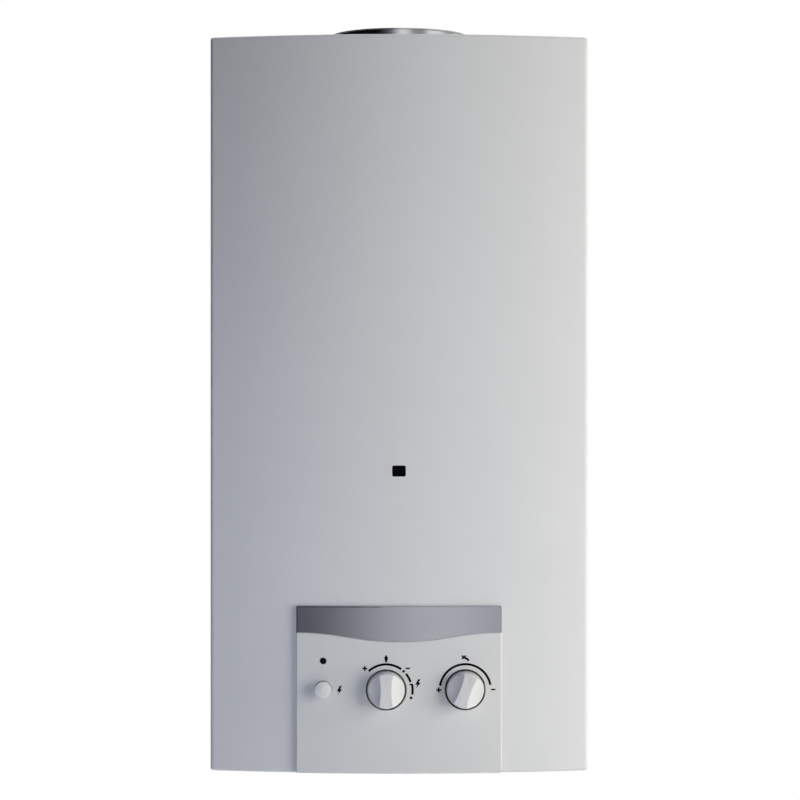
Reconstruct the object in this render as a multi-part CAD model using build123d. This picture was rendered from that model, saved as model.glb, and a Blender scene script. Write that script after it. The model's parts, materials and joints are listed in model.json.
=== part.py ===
from build123d import *
import os
from math import cos, pi, radians, sin, sqrt

# Wall-hung tankless gas water heater with an open flue, in millimetres.
# The wall is the plane Y = 0, the front faces -Y and +Z is up. The origin lies on the wall,
# midway between the two hang holes. Heights named below are measured from the casing's lower edge.

# Casing: a bowed front with two sides, folded from one enamelled sheet
casing_width = 350.0
casing_height = 680.0
casing_depth = 250.0  # wall to the crown of the bow
bow_rise = 25.0
casing_sheet = 0.8
casing_wall_gap = 2.0
side_edge_radius = 4.0
fold_radius = 2.5
top_flange = 24.0
bottom_flange = 16.0
opening_corner_radius = 10.0
casing_screw_diameter = 4.0
casing_screw_length = 7.0

# Wall fixing and back plate
hang_drop = 50.0  # hang holes below the casing's top
hang_spacing = 220.0
hang_hole_diameter = 10.0
lower_hole_height = 120.0
lower_hole_spacing = 220.0
lower_hole_diameter = 7.0
plate_sheet = 1.0
plate_flange = 22.0
plate_side_gap = 0.5
plate_seat_gap = 0.3
plate_corner_radius = 5.0
plate_fold_radius = 2.5
bead_width = 16.0
bead_depth = 4.0
bead_taper = 30.0
bead_inset = 50.0  # bead's centre line in from the casing's side
bead_low = 150.0
bead_top_gap = 120.0

# Sight window in the casing front
sight_height = 278.0
sight_width = 12.6
sight_tall = 10.2
sight_corner_radius = 1.6
glass_lap = 4.0
glass_thickness = 2.0
holder_rim = 4.0
holder_corner_radius = 2.0
holder_back = 1.2
holder_gap = 0.3

# Control panel
panel_width = 189.4
panel_height = 154.0
panel_step = 3.0  # the panel's crown stands this far proud of the casing's
panel_bow_radius = 680.0
panel_wall = 2.0
panel_rim = 4.0
panel_seat_gap = 0.2
panel_corner_radius = 1.5
panel_edge_radius = 1.4
band_end_drop = 24.4
band_centre_drop = 32.6
band_thickness = 1.2
band_seam = 0.6
window_side = 16.0
window_low = 30.0
window_high = 120.0
peg_diameter = 5.0
peg_inset = 9.0
peg_reach = 8.0
peg_gap = 0.3
push_nut_diameter = 11.0
push_nut_thickness = 1.2
nut_gap = 0.05

# Controls on the panel
control_height = 77.0
gas_knob_x = -11.8
water_knob_x = 60.9
igniter_x = -69.7
knob_diameter = 34.8
knob_tall = 18.5
knob_sink = 2.5
knob_gap = 1.5
knob_draft = 4.0
knob_edge_radius = 1.8
grip_edge_radius = 1.5
grip_width = 10.0
grip_drop = 7.0
scoop_radius = 26.0
scoop_swing = 85.0
knob_wall = 2.2
knob_hub_diameter = 14.0
hub_gap = 0.1
hub_depth = 10.0
pointer_width = 1.5
pointer_length = 4.5
pointer_radius = 10.5
pointer_depth = 0.5
water_knob_turn = 20.0  # the pointer's angle from upright, clockwise from the front
spindle_diameter = 8.0
spindle_flat = 2.0
spindle_gap = 0.05
spindle_reach = 30.0
button_diameter = 15.5
button_reach = 9.0
button_gap = 0.4
button_dome = 1.2
button_edge_radius = 0.6
button_length = 20.0
stem_diameter = 8.0
lamp_diameter = 5.8
lamp_rise = 26.4  # lamp centre above the control line
lamp_gap = 0.2
lamp_flange = 1.6
lamp_dome_radius = 1.0
lamp_body = 9.0

# Flue collar and draught diverter
flue_bore = 131.0
collar_wall = 1.0
collar_rise = 14.2
collar_flange = 7.0
collar_flange_sheet = 1.2
rim_bead_radius = 0.8
rivet_count = 8
rivet_diameter = 3.2
rivet_head_diameter = 6.0
rivet_head = 1.4
rivet_dome_radius = 1.1
rivet_tail = 2.0
hood_top_gap = 8.0
hood_height = 100.0
hood_overhang = 4.0
hood_top_rim = 20.5  # flat of the hood's top outside the collar's flange
hood_skirt = 62.0
hood_sheet = 1.0
relief_length = 96.0
relief_tall = 34.0
relief_rise = 14.0
baffle_width = 120.0
baffle_pitch = 15.0
baffle_rise = 40.0

# Heat exchanger
side_air_way = 63.0  # between the jacket and the casing's outer sides
jacket_depth = 140.0
jacket_rear_gap = 46.0
lower_room = 290.0  # from the casing's lower edge up to the jacket
jacket_wall = 1.0
jacket_corner_radius = 8.0
jacket_flange = 9.0
fin_pitch = 8.6
fin_end_gap = 14.0  # least gap from the end fins to the jacket
fin_thickness = 0.8
fin_tall = 75.0
fin_top_gap = 6.0
fin_side_gap = 0.4
tube_diameter = 15.0
tube_wall = 1.0
tube_count = 5
tube_pitch = 26.0
tube_gap = 0.1
tube_overrun = 8.0
coil_turns = 2
coil_share = 0.48  # part of the rise to the tubes that the coil's turns take
coil_low = 52.0
coil_gap = 0.4
coil_bend = 12.0
exit_bend = 11.9
union_drop = 30.0
bracket_spacing = 80.0
bracket_width = 30.0
bracket_tall = 24.0
bracket_sheet = 1.5
bracket_lift = 30.0  # upper brackets above the coil's last turn
bracket_rise = 16.0
hot_drop_gap = 20.0

# Burner
burner_drop = 28.0  # burner top below the jacket's lower edge
burner_inset = 14.0  # least gap from the outer bars' pitch to the jacket's sides
bar_pitch = 16.0
bar_width = 9.0
bar_wall = 0.8
bar_corner_radius = 2.2
bar_tall = 34.0
bar_depth = 108.0
venturi_diameter = 14.0
venturi_lap = 1.0  # depth of the venturi's joint with its bar
venturi_bore = 10.0
venturi_end = 2.0  # closed rear end of the venturi
port_count = 9
port_width = 1.6
port_depth = 5.0
frame_sheet = 1.5
frame_tall = 20.0
frame_drop = 8.0
frame_gap = 0.3
frame_foot = 15.0
ear_rim = 5.0
rail_diameter = 16.0
rail_wall = 1.5
rail_end = 6.0
rail_spigot = 8.0
nozzle_diameter = 6.0
nozzle_bore = 1.4
nozzle_length = 6.0
nozzle_stand_off = 1.0
nozzle_seat = 1.2
nozzle_gap = 0.1

# Pilot, electrode and thermocouple on one bracket
pilot_plate_depth = 34.0
pilot_plate_width = 52.0
pilot_plate_sheet = 1.5
pilot_inset = 9.0  # rod centres behind the plate's front edge
pilot_diameter = 8.0
pilot_bore = 4.0
pilot_port = 2.0
pilot_port_drop = 4.0
pilot_top = 8.0  # above the burner's top
pilot_spread = 15.0
rod_gap = 0.1
rod_collar = 2.0
rod_collar_thickness = 3.0
electrode_diameter = 6.0
electrode_tip_diameter = 2.0
electrode_tip = 9.0
electrode_tip_bend = 3.0
thermocouple_diameter = 5.0
thermocouple_dome_radius = 1.6
rod_tail = 10.0
pilot_tube_diameter = 4.0
pilot_tube_wall = 0.8

# Gas valve and water valve, side by side
valve_y = -170.0
valve_depth = 76.0
valve_edge_radius = 5.0
gas_valve_left = 34.0
gas_valve_right = 31.0
gas_valve_tall = 56.0
boss_diameter = 26.0
boss_length = 12.0
port_bore = 14.0
chamber_diameter = 30.0
chamber_wall = 21.0  # metal between the gas chamber and the water valve
gas_cover_size = 48.0
gas_cover_corner_radius = 6.0
gas_cover_thickness = 4.0
gas_cover_screw_inset = 6.0
magnet_diameter = 22.0
magnet_length = 16.0
magnet_edge_radius = 2.0
magnet_tail_diameter = 9.0
magnet_tail = 5.0
cover_thickness = 18.0
cover_flange = 8.0
cover_hub_diameter = 44.0
diaphragm_housing_diameter = 72.0
diaphragm_room_diameter = 52.0
diaphragm_room = 6.0
diaphragm_thickness = 2.0
diaphragm_edge = 0.5
diaphragm_plate_diameter = 40.0
diaphragm_plate_thickness = 1.3
flange_screw_count = 6
flange_screw_circle = 62.0
water_body_flange = 10.0
water_block_width = 46.0
water_block_tall = 52.0
cold_inset = 17.0  # cold inlet in from the water block's right side
drain_diameter = 14.0
drain_across = 17.0
drain_head = 6.0
drain_length = 12.0
push_rod_diameter = 5.0
push_rod_gap = 0.05
push_rod_head_diameter = 10.0
push_rod_head = 3.0
plunger_diameter = 24.0
plunger_thickness = 4.0
plunger_edge_radius = 0.8
plunger_gap = 0.1
spring_wire = 1.2
spring_diameter = 16.0
spring_turns = 5
valve_bracket_sheet = 2.0
valve_bracket_tall = 40.0
valve_bracket_x = 33.0
valve_bracket_foot = 18.0

# Screws shared by the valves and brackets
screw_diameter = 4.0
screw_head_diameter = 7.5
screw_head = 2.6
screw_dome_radius = 1.3
screw_length = 8.0
screw_gap = 0.1

# Igniter
igniter_plate_sheet = 1.5
igniter_plate_tall = 36.0
igniter_plate_lap = 18.0
igniter_plate_edge = 13.0
igniter_plate_corner_radius = 3.0
igniter_screw_inset = 9.0
igniter_screw_spacing = 24.0
igniter_diameter = 20.0
igniter_length = 52.0
igniter_edge_radius = 2.0
igniter_neck_diameter = 14.0
igniter_neck = 11.0
igniter_bore_depth = 42.0
igniter_nut_across = 19.0
igniter_nut_thickness = 4.0
neck_gap = 0.2
button_spring_wire = 0.8
button_spring_turns = 7
button_spring_length = 18.0
stem_gap = 0.1

# Pipes, connectors and leads
gas_pipe_diameter = 16.0
pipe_bend = 18.0
riser_height = 172.0
union_across = 24.0
union_length = 18.0
union_gap = 0.1
thread_diameter = 20.96  # outside of a half-inch pipe thread
thread_length = 26.0
thread_bore = 14.0
pipe_thread_chamfer = 1.2
stub_reach = 12.0  # thread end below the casing's lower edge
shoulder_diameter = 24.0
shoulder_gap = 0.2
connector_across = 30.0
connector_hex = 10.0
stub_plate_sheet = 2.0
stub_plate_tall = 28.0
stub_plate_edge = 26.0
lead_diameter = 5.0
lead_bend = 13.0
thin_lead_diameter = 2.5
thin_lead_bend = 8.0
lead_height = 160.0
sensor_diameter = 16.0
sensor_thickness = 8.0
sensor_ear = 26.0
sensor_ear_tall = 13.0
sensor_ear_radius = 4.0
sensor_ear_sheet = 1.0
sensor_x = 60.0
flue_sensor_rise = 48.0
limiter_rise = 38.0  # above the coil's last turn
wire_diameter = 4.0
wire_run_out = 14.0
wire_step = 4.0
wire_inset = 8.0
wire_height = 140.0

# Levels and planes that several pieces share
top_z = hang_drop
base_z = top_z - casing_height
half_width = casing_width / 2
bow_radius = (half_width**2 + bow_rise**2) / (2 * bow_rise)
bow_centre_y = bow_radius - casing_depth
corner_y = bow_rise - casing_depth
plate_half = half_width - casing_sheet - plate_side_gap
plate_low = base_z + casing_sheet + plate_seat_gap
plate_high = top_z - casing_sheet - plate_seat_gap
plate_face = -plate_sheet
control_z = base_z + control_height
panel_crown = casing_depth + panel_step
panel_centre_y = panel_bow_radius - panel_crown
panel_low = base_z
panel_high = base_z + panel_height
jacket_width = casing_width - 2 * side_air_way
jacket_rear = -jacket_rear_gap
jacket_front = jacket_rear - jacket_depth
jacket_mid_y = (jacket_rear + jacket_front) / 2
hood_top = top_z - hood_top_gap
hood_low = hood_top - hood_height
jacket_high = hood_low
jacket_low = base_z + lower_room
jacket_height = jacket_high - jacket_low
fin_count = int((jacket_width - 2 * (jacket_wall + fin_end_gap)) / fin_pitch) + 1
fin_high = jacket_high - fin_top_gap
tube_z = fin_high - fin_tall / 2
coil_x = jacket_width / 2 + coil_gap + tube_diameter / 2
coil_front = jacket_front - coil_gap - tube_diameter / 2
coil_rear = jacket_rear + coil_gap + tube_diameter / 2
coil_z = jacket_low + coil_low
coil_pitch = coil_share * (tube_z - coil_z) / coil_turns
coil_top = coil_z + coil_turns * coil_pitch
tube_front = jacket_mid_y - (tube_count - 1) / 2 * tube_pitch
tube_rear = jacket_mid_y + (tube_count - 1) / 2 * tube_pitch
burner_top = jacket_low - burner_drop
bar_front = jacket_mid_y - bar_depth / 2
bar_rear = jacket_mid_y + bar_depth / 2
venturi_z = burner_top - bar_tall - venturi_diameter / 2 + venturi_lap
bar_count = int((jacket_width - 2 * burner_inset) / bar_pitch)
bars_half = (bar_count - 1) / 2 * bar_pitch + bar_width / 2
frame_high = burner_top - frame_drop
frame_low = frame_high - frame_tall
frame_half = bars_half + frame_gap
frame_front = bar_front - frame_gap - frame_sheet
rail_y = bar_front - nozzle_stand_off - nozzle_length - rail_diameter / 2 + nozzle_seat
rail_half = frame_half + frame_sheet + rail_end
pilot_y = frame_front - pilot_plate_sheet - pilot_plate_depth + pilot_inset
valve_front = valve_y - valve_depth / 2
valve_rear = valve_y + valve_depth / 2
gas_left = gas_knob_x - gas_valve_left
gas_right = gas_knob_x + gas_valve_right
gas_high = control_z + gas_valve_tall / 2
gas_low = control_z - gas_valve_tall / 2
diaphragm_x = gas_right + cover_thickness
water_left = diaphragm_x + diaphragm_thickness
block_left = water_left + water_body_flange
block_right = block_left + water_block_width
cold_x = block_right - cold_inset
water_high = control_z + water_block_tall / 2
water_low = control_z - water_block_tall / 2
stub_y = tube_rear
stub_low = base_z - stub_reach
thread_high = stub_low + thread_length
stub_plate_low = thread_high
stub_plate_high = stub_plate_low + stub_plate_sheet
connector_high = stub_plate_high + connector_hex
hot_x = -(jacket_width / 2 + hot_drop_gap + tube_diameter / 2)
igniter_plate_y = valve_front - igniter_plate_sheet
lead_z = base_z + lead_height


def panel_y(x):
    """Depth of the control panel's bowed face at x."""
    return panel_centre_y - sqrt(panel_bow_radius**2 - x**2)


def block(low, high):
    """A box between two opposite corners."""
    size = [b - a for a, b in zip(low, high)]
    centre = [(a + b) / 2 for a, b in zip(low, high)]
    return Pos(*centre) * Box(*size)


def bar(diameter, start, end):
    """A round bar between two points."""
    start = Vector(*start)
    along = Vector(*end) - start
    seat = (Align.CENTER, Align.CENTER, Align.MIN)
    return Plane(start, z_dir=along) * Cylinder(diameter / 2, along.length, align=seat)


def bar_x(diameter, start, end):
    """A round bar on the valves' common axis, from one x to another."""
    return bar(diameter, (start, valve_y, control_z), (end, valve_y, control_z))


def bar_y(diameter, x, start, end):
    """A round bar at control height, from one depth to another."""
    return bar(diameter, (x, start, control_z), (x, end, control_z))


def hexagon(across, start, end):
    """A hexagonal bar between two points, measured across its flats."""
    start = Vector(*start)
    along = Vector(*end) - start
    section = RegularPolygon(across / 2, 6, major_radius=False)
    return Plane(start, z_dir=along) * extrude(section, along.length)


def pipe(points, diameter, wall, bend):
    """A round pipe of one wall thickness along straight runs joined by bends."""
    path = FilletPolyline(*points, radius=bend) if len(points) > 2 else Line(*points)
    ring = Circle(diameter / 2) - Circle(diameter / 2 - wall)
    return sweep(Plane(path @ 0, z_dir=path % 0) * ring, path=path)


def lead(points, diameter, bend):
    """A solid cable or capillary along straight runs joined by bends."""
    path = FilletPolyline(*points, radius=bend)
    return sweep(Plane(path @ 0, z_dir=path % 0) * Circle(diameter / 2), path=path)


def coil_spring(start, end, diameter, wire, turns):
    """A compression spring between two points, its wire kept inside both ends."""
    start, end = Vector(*start), Vector(*end)
    axis = (end - start).normalized()
    first = start + axis * (wire / 2)
    tall = (end - start).length - wire
    path = Helix(tall / turns, tall, (diameter - wire) / 2, center=first, direction=axis)
    return sweep(Plane(path @ 0, z_dir=path % 0) * Circle(wire / 2), path=path, is_frenet=True)


def pan_screw(seat, way):
    """A pan-head screw: its head stands on seat and its shank runs along way."""
    seat, way = Vector(*seat), Vector(*way)
    head = bar(screw_head_diameter, seat - way * screw_head, seat)
    rims = head.edges().filter_by(GeomType.CIRCLE).sort_by(lambda e: (e.center() - seat).length)
    head = fillet(rims[-1:], screw_dome_radius)
    return head + bar(screw_diameter, seat, seat + way * screw_length)


def screw_hole(seat, way):
    """The hole for such a screw, from just outside its seat."""
    seat, way = Vector(*seat), Vector(*way)
    depth = screw_length + screw_gap
    return bar(screw_diameter + 2 * screw_gap, seat - way * screw_head, seat + way * depth)


def drilled(body, seats, way):
    """A body with a screw hole at each seat."""
    for seat in seats:
        body -= screw_hole(seat, way)
    return body


def inside(radius, sheet):
    """The inner radius of a fold in sheet metal."""
    return max(radius - sheet, sheet / 4)


def casing_block(inset, rear_y):
    """The casing's form drawn in all round by inset, running back to rear_y."""
    half = half_width - inset
    radius = bow_radius - inset
    side_y = bow_centre_y - sqrt(radius**2 - half**2)
    sides = Polyline((half, side_y), (half, rear_y), (-half, rear_y), (-half, side_y))
    bow = ThreePointArc((-half, side_y), (0, bow_centre_y - radius), (half, side_y))
    outline = make_face((sides + bow).edges())
    form = extrude(Plane.XY.offset(base_z + inset) * outline, casing_height - 2 * inset)
    uprights = form.edges().filter_by(Axis.Z).sort_by(Axis.Y)[:2]
    form = fillet(uprights, max(side_edge_radius - inset, inset))
    ends = form.faces().filter_by(Axis.Z)
    folds = [edge for face in ends for edge in face.edges() if edge.center().Y < rear_y - inset - 1e-3]
    return fillet(folds, inside(fold_radius, inset) if inset else fold_radius)


def flange_opening(flange, low, high):
    """The opening that a flange of this width leaves, open toward the wall."""
    half = half_width - flange
    front = corner_y + flange
    cut = block((-half, front, low), (half, 0, high))
    corners = cut.edges().filter_by(Axis.Z).sort_by(Axis.Y)[:2]
    return fillet(corners, opening_corner_radius)


def casing_screw_seats():
    """Where the two casing screws stand under the lower flanges."""
    x = half_width - bottom_flange / 2
    y = -plate_flange / 2
    return [(side * x, y, base_z) for side in (-1, 1)]


def peg_places():
    """Centres of the panel's pegs, as x and z."""
    x = panel_width / 2 - peg_inset
    return [(side * x, z) for side in (-1, 1) for z in (panel_low + peg_inset, panel_high - peg_inset)]


def front_casing():
    """The enamelled casing with its openings, window, sight hole and peg holes."""
    shell = casing_block(0, -casing_wall_gap) - casing_block(casing_sheet, plate_flange)
    shell -= flange_opening(top_flange, top_z - 2 * fold_radius, top_z + casing_sheet)
    shell -= flange_opening(bottom_flange, base_z - casing_sheet, base_z + 2 * fold_radius)
    hole = RectangleRounded(sight_width, sight_tall, sight_corner_radius)
    sight = Plane.XZ.offset(-corner_y) * Pos(0, base_z + sight_height) * hole
    shell -= extrude(sight, casing_depth)
    window_half = panel_width / 2 - window_side
    low, high = base_z + window_low, base_z + window_high
    shell -= block((-window_half, -casing_depth, low), (window_half, corner_y, high))
    for x, z in peg_places():
        shell -= bar(peg_diameter + 2 * peg_gap, (x, -casing_depth, z), (x, corner_y, z))
    for x, y, z in casing_screw_seats():
        shell -= bar(casing_screw_diameter + 2 * screw_gap, (x, y, z), (x, y, z + fold_radius))
    return shell


def back_plate():
    """The galvanised tray behind everything, with pressed beads and fixing holes."""
    def tray(inset):
        form = block((-plate_half + inset, -plate_flange - inset, plate_low + inset),
                     (plate_half - inset, -inset, plate_high - inset))
        form = fillet(form.edges().filter_by(Axis.Y), plate_corner_radius - inset)
        return fillet(form.faces().sort_by(Axis.Y)[-1].edges(), inside(plate_fold_radius, inset))

    plate = tray(0) - tray(plate_sheet)
    bead_high = casing_height - bead_top_gap
    for side in (-1, 1):
        middle = Pos(side * (half_width - bead_inset), base_z + (bead_low + bead_high) / 2)
        long = bead_high - bead_low
        for back, shrink, sign in ((plate_sheet, 0, 1), (0, plate_sheet, -1)):
            slot = middle * SlotOverall(long - 2 * shrink, bead_width - 2 * shrink, 90)
            bead = extrude(Plane.XZ.offset(back) * slot, bead_depth, taper=bead_taper)
            plate = plate + bead if sign > 0 else plate - bead
    holes = [(hang_spacing, 0, hang_hole_diameter)]
    holes.append((lower_hole_spacing, base_z + lower_hole_height, lower_hole_diameter))
    for spacing, z, diameter in holes:
        for x in (-spacing / 2, spacing / 2):
            plate -= bar(diameter, (x, -plate_flange, z), (x, 0, z))
    for x, y, z in casing_screw_seats():
        plate -= bar(casing_screw_diameter + 2 * screw_gap, (x, y, z), (x, y, z + casing_screw_length))
    return plate


def casing_screws():
    """Two pan-head screws from below, through casing flange and tray flange."""
    group = []
    for x, y, z in casing_screw_seats():
        screw = bar(screw_head_diameter, (x, y, z - screw_head), (x, y, z))
        screw = fillet(screw.edges().sort_by(Axis.Z)[:1], screw_dome_radius)
        group.append(screw + bar(casing_screw_diameter, (x, y, z), (x, y, z + casing_screw_length)))
    return group


def sight_frame(width, tall, front, back):
    """A block around the sight line, from one depth to another."""
    z = base_z + sight_height
    return block((-width / 2, front, z - tall / 2), (width / 2, back, z + tall / 2))


holder_half = sight_width / 2 + glass_lap + holder_rim
holder_front = bow_centre_y - sqrt((bow_radius - casing_sheet)**2 - holder_half**2)
glass_front = holder_front + holder_gap
glass_back = glass_front + glass_thickness


def sight_glass():
    """The heat-proof pane behind the sight hole."""
    return sight_frame(sight_width + 2 * glass_lap, sight_tall + 2 * glass_lap, glass_front, glass_back)


def sight_holder():
    """The steel holder that keeps the pane against the casing."""
    wide = 2 * (glass_lap + holder_rim)
    form = sight_frame(sight_width + wide, sight_tall + wide, holder_front, glass_back + holder_back)
    form = fillet(form.edges().filter_by(Axis.Y), holder_corner_radius)
    room = 2 * (glass_lap + holder_gap)
    form -= sight_frame(sight_width + room, sight_tall + room, holder_front, glass_back)
    return form - sight_frame(sight_width, sight_tall, holder_front, glass_back + holder_back)


def bow_cylinder(radius, centre_y):
    """An upright cylinder whose front is one of the bows."""
    centre_z = (panel_low + panel_high) / 2
    return Pos(0, centre_y, centre_z) * Cylinder(radius, 2 * panel_height)


def panel_form():
    """The control panel's outer form, seated on the casing's bow."""
    half = panel_width / 2
    form = block((-half, -panel_crown - panel_step, panel_low), (half, corner_y, panel_high))
    form = fillet(form.edges().filter_by(Axis.Y), panel_corner_radius)
    form = form & bow_cylinder(panel_bow_radius, panel_centre_y)
    form -= bow_cylinder(bow_radius + panel_seat_gap, bow_centre_y)
    front = form.faces().sort_by(Axis.Y)[0]
    return fillet(front.edges(), panel_edge_radius)


def band_outline(seam):
    """The band's face seen from the front, its curved lower edge let down by seam."""
    side = panel_width / 2
    half = side + panel_step
    end = panel_high - band_end_drop - seam
    low = panel_high - band_centre_drop - seam
    middle = (end + low) / 2
    quarter = panel_width / 4
    lower = Polyline((-half, end), (-side, end))
    lower += TangentArc((-side, end), (-quarter, middle), tangent=(1, 0))
    lower += TangentArc((0, low), (-quarter, middle), tangent=(-1, 0))
    lower += TangentArc((0, low), (quarter, middle), tangent=(1, 0))
    lower += TangentArc((side, end), (quarter, middle), tangent=(-1, 0))
    upper = Polyline((side, end), (half, end), (half, panel_high), (-half, panel_high), (-half, end))
    face = make_face((lower + upper).edges())
    return extrude(Plane.XZ.offset(-corner_y) * face, casing_depth)


def band_skin():
    """The thin layer under the panel's face that the band fills."""
    inner = bow_cylinder(panel_bow_radius - band_thickness, panel_centre_y)
    return bow_cylinder(panel_bow_radius + panel_step, panel_centre_y) - inner


def panel_holes():
    """The panel's round openings as x, z and diameter."""
    knob_hole = knob_diameter + 2 * knob_gap
    return [(gas_knob_x, control_z, knob_hole), (water_knob_x, control_z, knob_hole),
            (igniter_x, control_z, button_diameter + 2 * button_gap),
            (igniter_x, control_z + lamp_rise, lamp_diameter + 2 * lamp_gap)]


def control_panel():
    """The moulded panel: hollow back, band recess, openings and four pegs."""
    form = panel_form()
    rim = panel_width / 2 - panel_rim
    room = block((-rim, -panel_crown, panel_low + panel_rim), (rim, corner_y, panel_high - panel_rim))
    form -= room & bow_cylinder(panel_bow_radius - panel_wall - band_thickness, panel_centre_y)
    form -= band_outline(band_seam) & band_skin()
    for x, z, diameter in panel_holes():
        form -= bar(diameter, (x, -panel_crown - panel_step, z), (x, corner_y, z))
    for x, z in peg_places():
        seat = panel_y(x) + panel_wall
        casing_inner = bow_centre_y - sqrt((bow_radius - casing_sheet)**2 - x**2)
        form += bar(peg_diameter, (x, seat, z), (x, casing_inner + peg_reach, z))
    return form


def panel_band():
    """The silver band let into the panel's top."""
    return panel_form() & band_outline(0) & band_skin()


def panel_nuts():
    """Push-on nuts on the panel's pegs, against the casing's inner face."""
    group = []
    for x, z in peg_places():
        edge = abs(x) + push_nut_diameter / 2
        seat = bow_centre_y - sqrt((bow_radius - casing_sheet)**2 - edge**2)
        nut = bar(push_nut_diameter, (x, seat, z), (x, seat + push_nut_thickness, z))
        group.append(nut - bar(peg_diameter + 2 * nut_gap, (x, seat, z), (x, seat + push_nut_thickness, z)))
    return group


def indicator_lamp():
    """The lamp's lens in the panel, with a flange and body behind it."""
    z = control_z + lamp_rise
    front = panel_y(igniter_x) - lamp_gap
    back = panel_y(abs(igniter_x) + lamp_diameter) + panel_wall + band_thickness
    lens = bar(lamp_diameter, (igniter_x, front, z), (igniter_x, back, z))
    lens = fillet(lens.edges().sort_by(Axis.Y)[:1], lamp_dome_radius)
    flange = bar(lamp_diameter + 2 * lamp_flange, (igniter_x, back, z), (igniter_x, back + lamp_flange, z))
    return lens + flange + bar(lamp_diameter, (igniter_x, back, z), (igniter_x, back + lamp_body, z))


def facing(x, y, z, turn):
    """A frame at a control: its axis points to the front and it is turned clockwise from upright."""
    return Plane((x, y, z), x_dir=(1, 0, 0), z_dir=(0, -1, 0)) * Rot(0, 0, -turn)


def spindle_section(grow):
    """The flatted end of a spindle, grown all round by a clearance."""
    radius = spindle_diameter / 2 + grow
    flat = radius - spindle_flat
    return Circle(radius) - Pos(0, flat + radius) * Rectangle(2 * radius, 2 * radius)


def knob(x, turn):
    """A turning knob: a drafted drum with two scoops that leave a waisted grip."""
    rim = knob_diameter / 2
    seat = (Align.CENTER, Align.CENTER, Align.MIN)
    front = rim - knob_tall * sin(radians(knob_draft))
    form = fillet(Cone(rim, front, knob_tall, align=seat).edges().sort_by(Axis.Z)[-1:], knob_edge_radius)
    half = grip_width / 2
    run = rim - half
    chord = sqrt(run**2 + grip_drop**2)
    lift = sqrt(scoop_radius**2 - chord**2 / 4)
    scoop_x = (half + rim) / 2 + lift * grip_drop / chord
    scoop_z = knob_tall - grip_drop / 2 + lift * run / chord
    for side in (-1, 1):
        form -= Pos(side * scoop_swing, 0, scoop_z) * Torus(scoop_swing - scoop_x, scoop_radius)
    ridge = [e for e in form.faces().sort_by(Axis.Z)[-1].edges() if e.center().X * e.center().X > 1]
    form = fillet(ridge, grip_edge_radius)
    room = knob_tall - grip_drop - knob_wall
    form -= Cylinder(rim - knob_wall, room, align=seat) - Cylinder(knob_hub_diameter / 2, room, align=seat)
    form -= extrude(spindle_section(hub_gap), hub_depth)
    mark = Pos(0, pointer_radius, knob_tall - pointer_depth) * SlotOverall(pointer_length, pointer_width, 90)
    form -= extrude(mark, knob_tall)
    return facing(x, panel_y(x) + knob_sink, control_z, turn) * form


def spindle(x, turn):
    """The spindle between a knob and its valve, flatted where the knob holds it."""
    knob_rear = panel_y(x) + knob_sink
    tip = hub_depth - hub_gap
    tail = valve_front - boss_length + spindle_reach - knob_rear
    flatted = extrude(spindle_section(0), tip)
    shank = Pos(0, 0, -tail) * extrude(Circle(spindle_diameter / 2), tail)
    return facing(x, knob_rear, control_z, turn) * (flatted + shank)


button_front = panel_y(igniter_x) - button_reach
neck_front = igniter_plate_y - igniter_neck
igniter_bore_end = neck_front + igniter_bore_depth
stem_end = igniter_bore_end - button_spring_length


def igniter_button():
    """The domed push button and its stem."""
    half = button_diameter / 2
    stem = stem_diameter / 2
    rim = -button_dome
    tail = button_front - stem_end
    shank = [(0, 0), (0, tail), (stem, tail), (stem, -button_length)]
    sides = Polyline(*shank, (half, -button_length), (half, rim))
    face = make_face((sides + TangentArc((0, 0), (half, rim), tangent=(1, 0))).edges())
    face = fillet(face.vertices().sort_by(Axis.X)[-2:].sort_by(Axis.Y)[-1:], button_edge_radius)
    return facing(igniter_x, button_front, control_z, 0) * revolve(Plane.XZ * face, Axis.Z)


def igniter_body():
    """The piezo igniter: a barrel behind its plate and a bored neck through it."""
    back = valve_front + igniter_length
    barrel = bar_y(igniter_diameter, igniter_x, valve_front, back)
    barrel = fillet(barrel.edges().sort_by(Axis.Y)[-1:], igniter_edge_radius)
    neck = bar_y(igniter_neck_diameter, igniter_x, neck_front, valve_front)
    bore = bar_y(stem_diameter + 2 * stem_gap, igniter_x, neck_front, igniter_bore_end)
    return barrel + neck - bore


def button_spring():
    """The return spring between the button's stem and the barrel's bore."""
    return coil_spring((igniter_x, stem_end, control_z), (igniter_x, igniter_bore_end, control_z),
                       stem_diameter, button_spring_wire, button_spring_turns)


def igniter_nut():
    """The nut that clamps the igniter's neck to its plate."""
    start = (igniter_x, igniter_plate_y - igniter_nut_thickness, control_z)
    end = (igniter_x, igniter_plate_y, control_z)
    return hexagon(igniter_nut_across, start, end) - bar(igniter_neck_diameter + 2 * nut_gap, start, end)


def igniter_screw_seats():
    """Where the igniter plate is screwed to the gas valve's front."""
    x = gas_left + igniter_screw_inset
    offset = igniter_screw_spacing / 2
    return [(x, igniter_plate_y, control_z + side * offset) for side in (-1, 1)]


def igniter_plate():
    """The steel plate that carries the igniter beside the gas valve."""
    half = igniter_plate_tall / 2
    plate = block((igniter_x - igniter_plate_edge, igniter_plate_y, control_z - half),
                  (gas_left + igniter_plate_lap, valve_front, control_z + half))
    plate = fillet(plate.edges().filter_by(Axis.Y), igniter_plate_corner_radius)
    plate -= bar_y(igniter_neck_diameter + 2 * neck_gap, igniter_x, igniter_plate_y, valve_front)
    return drilled(plate, igniter_screw_seats(), (0, 1, 0))


def collar_rivet_places():
    """Centres of the rivets round the flue collar, as x and y."""
    circle = flue_bore / 2 + collar_wall + collar_flange / 2
    steps = [2 * pi * k / rivet_count for k in range(rivet_count)]
    return [(circle * cos(a), jacket_mid_y + circle * sin(a)) for a in steps]


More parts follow.
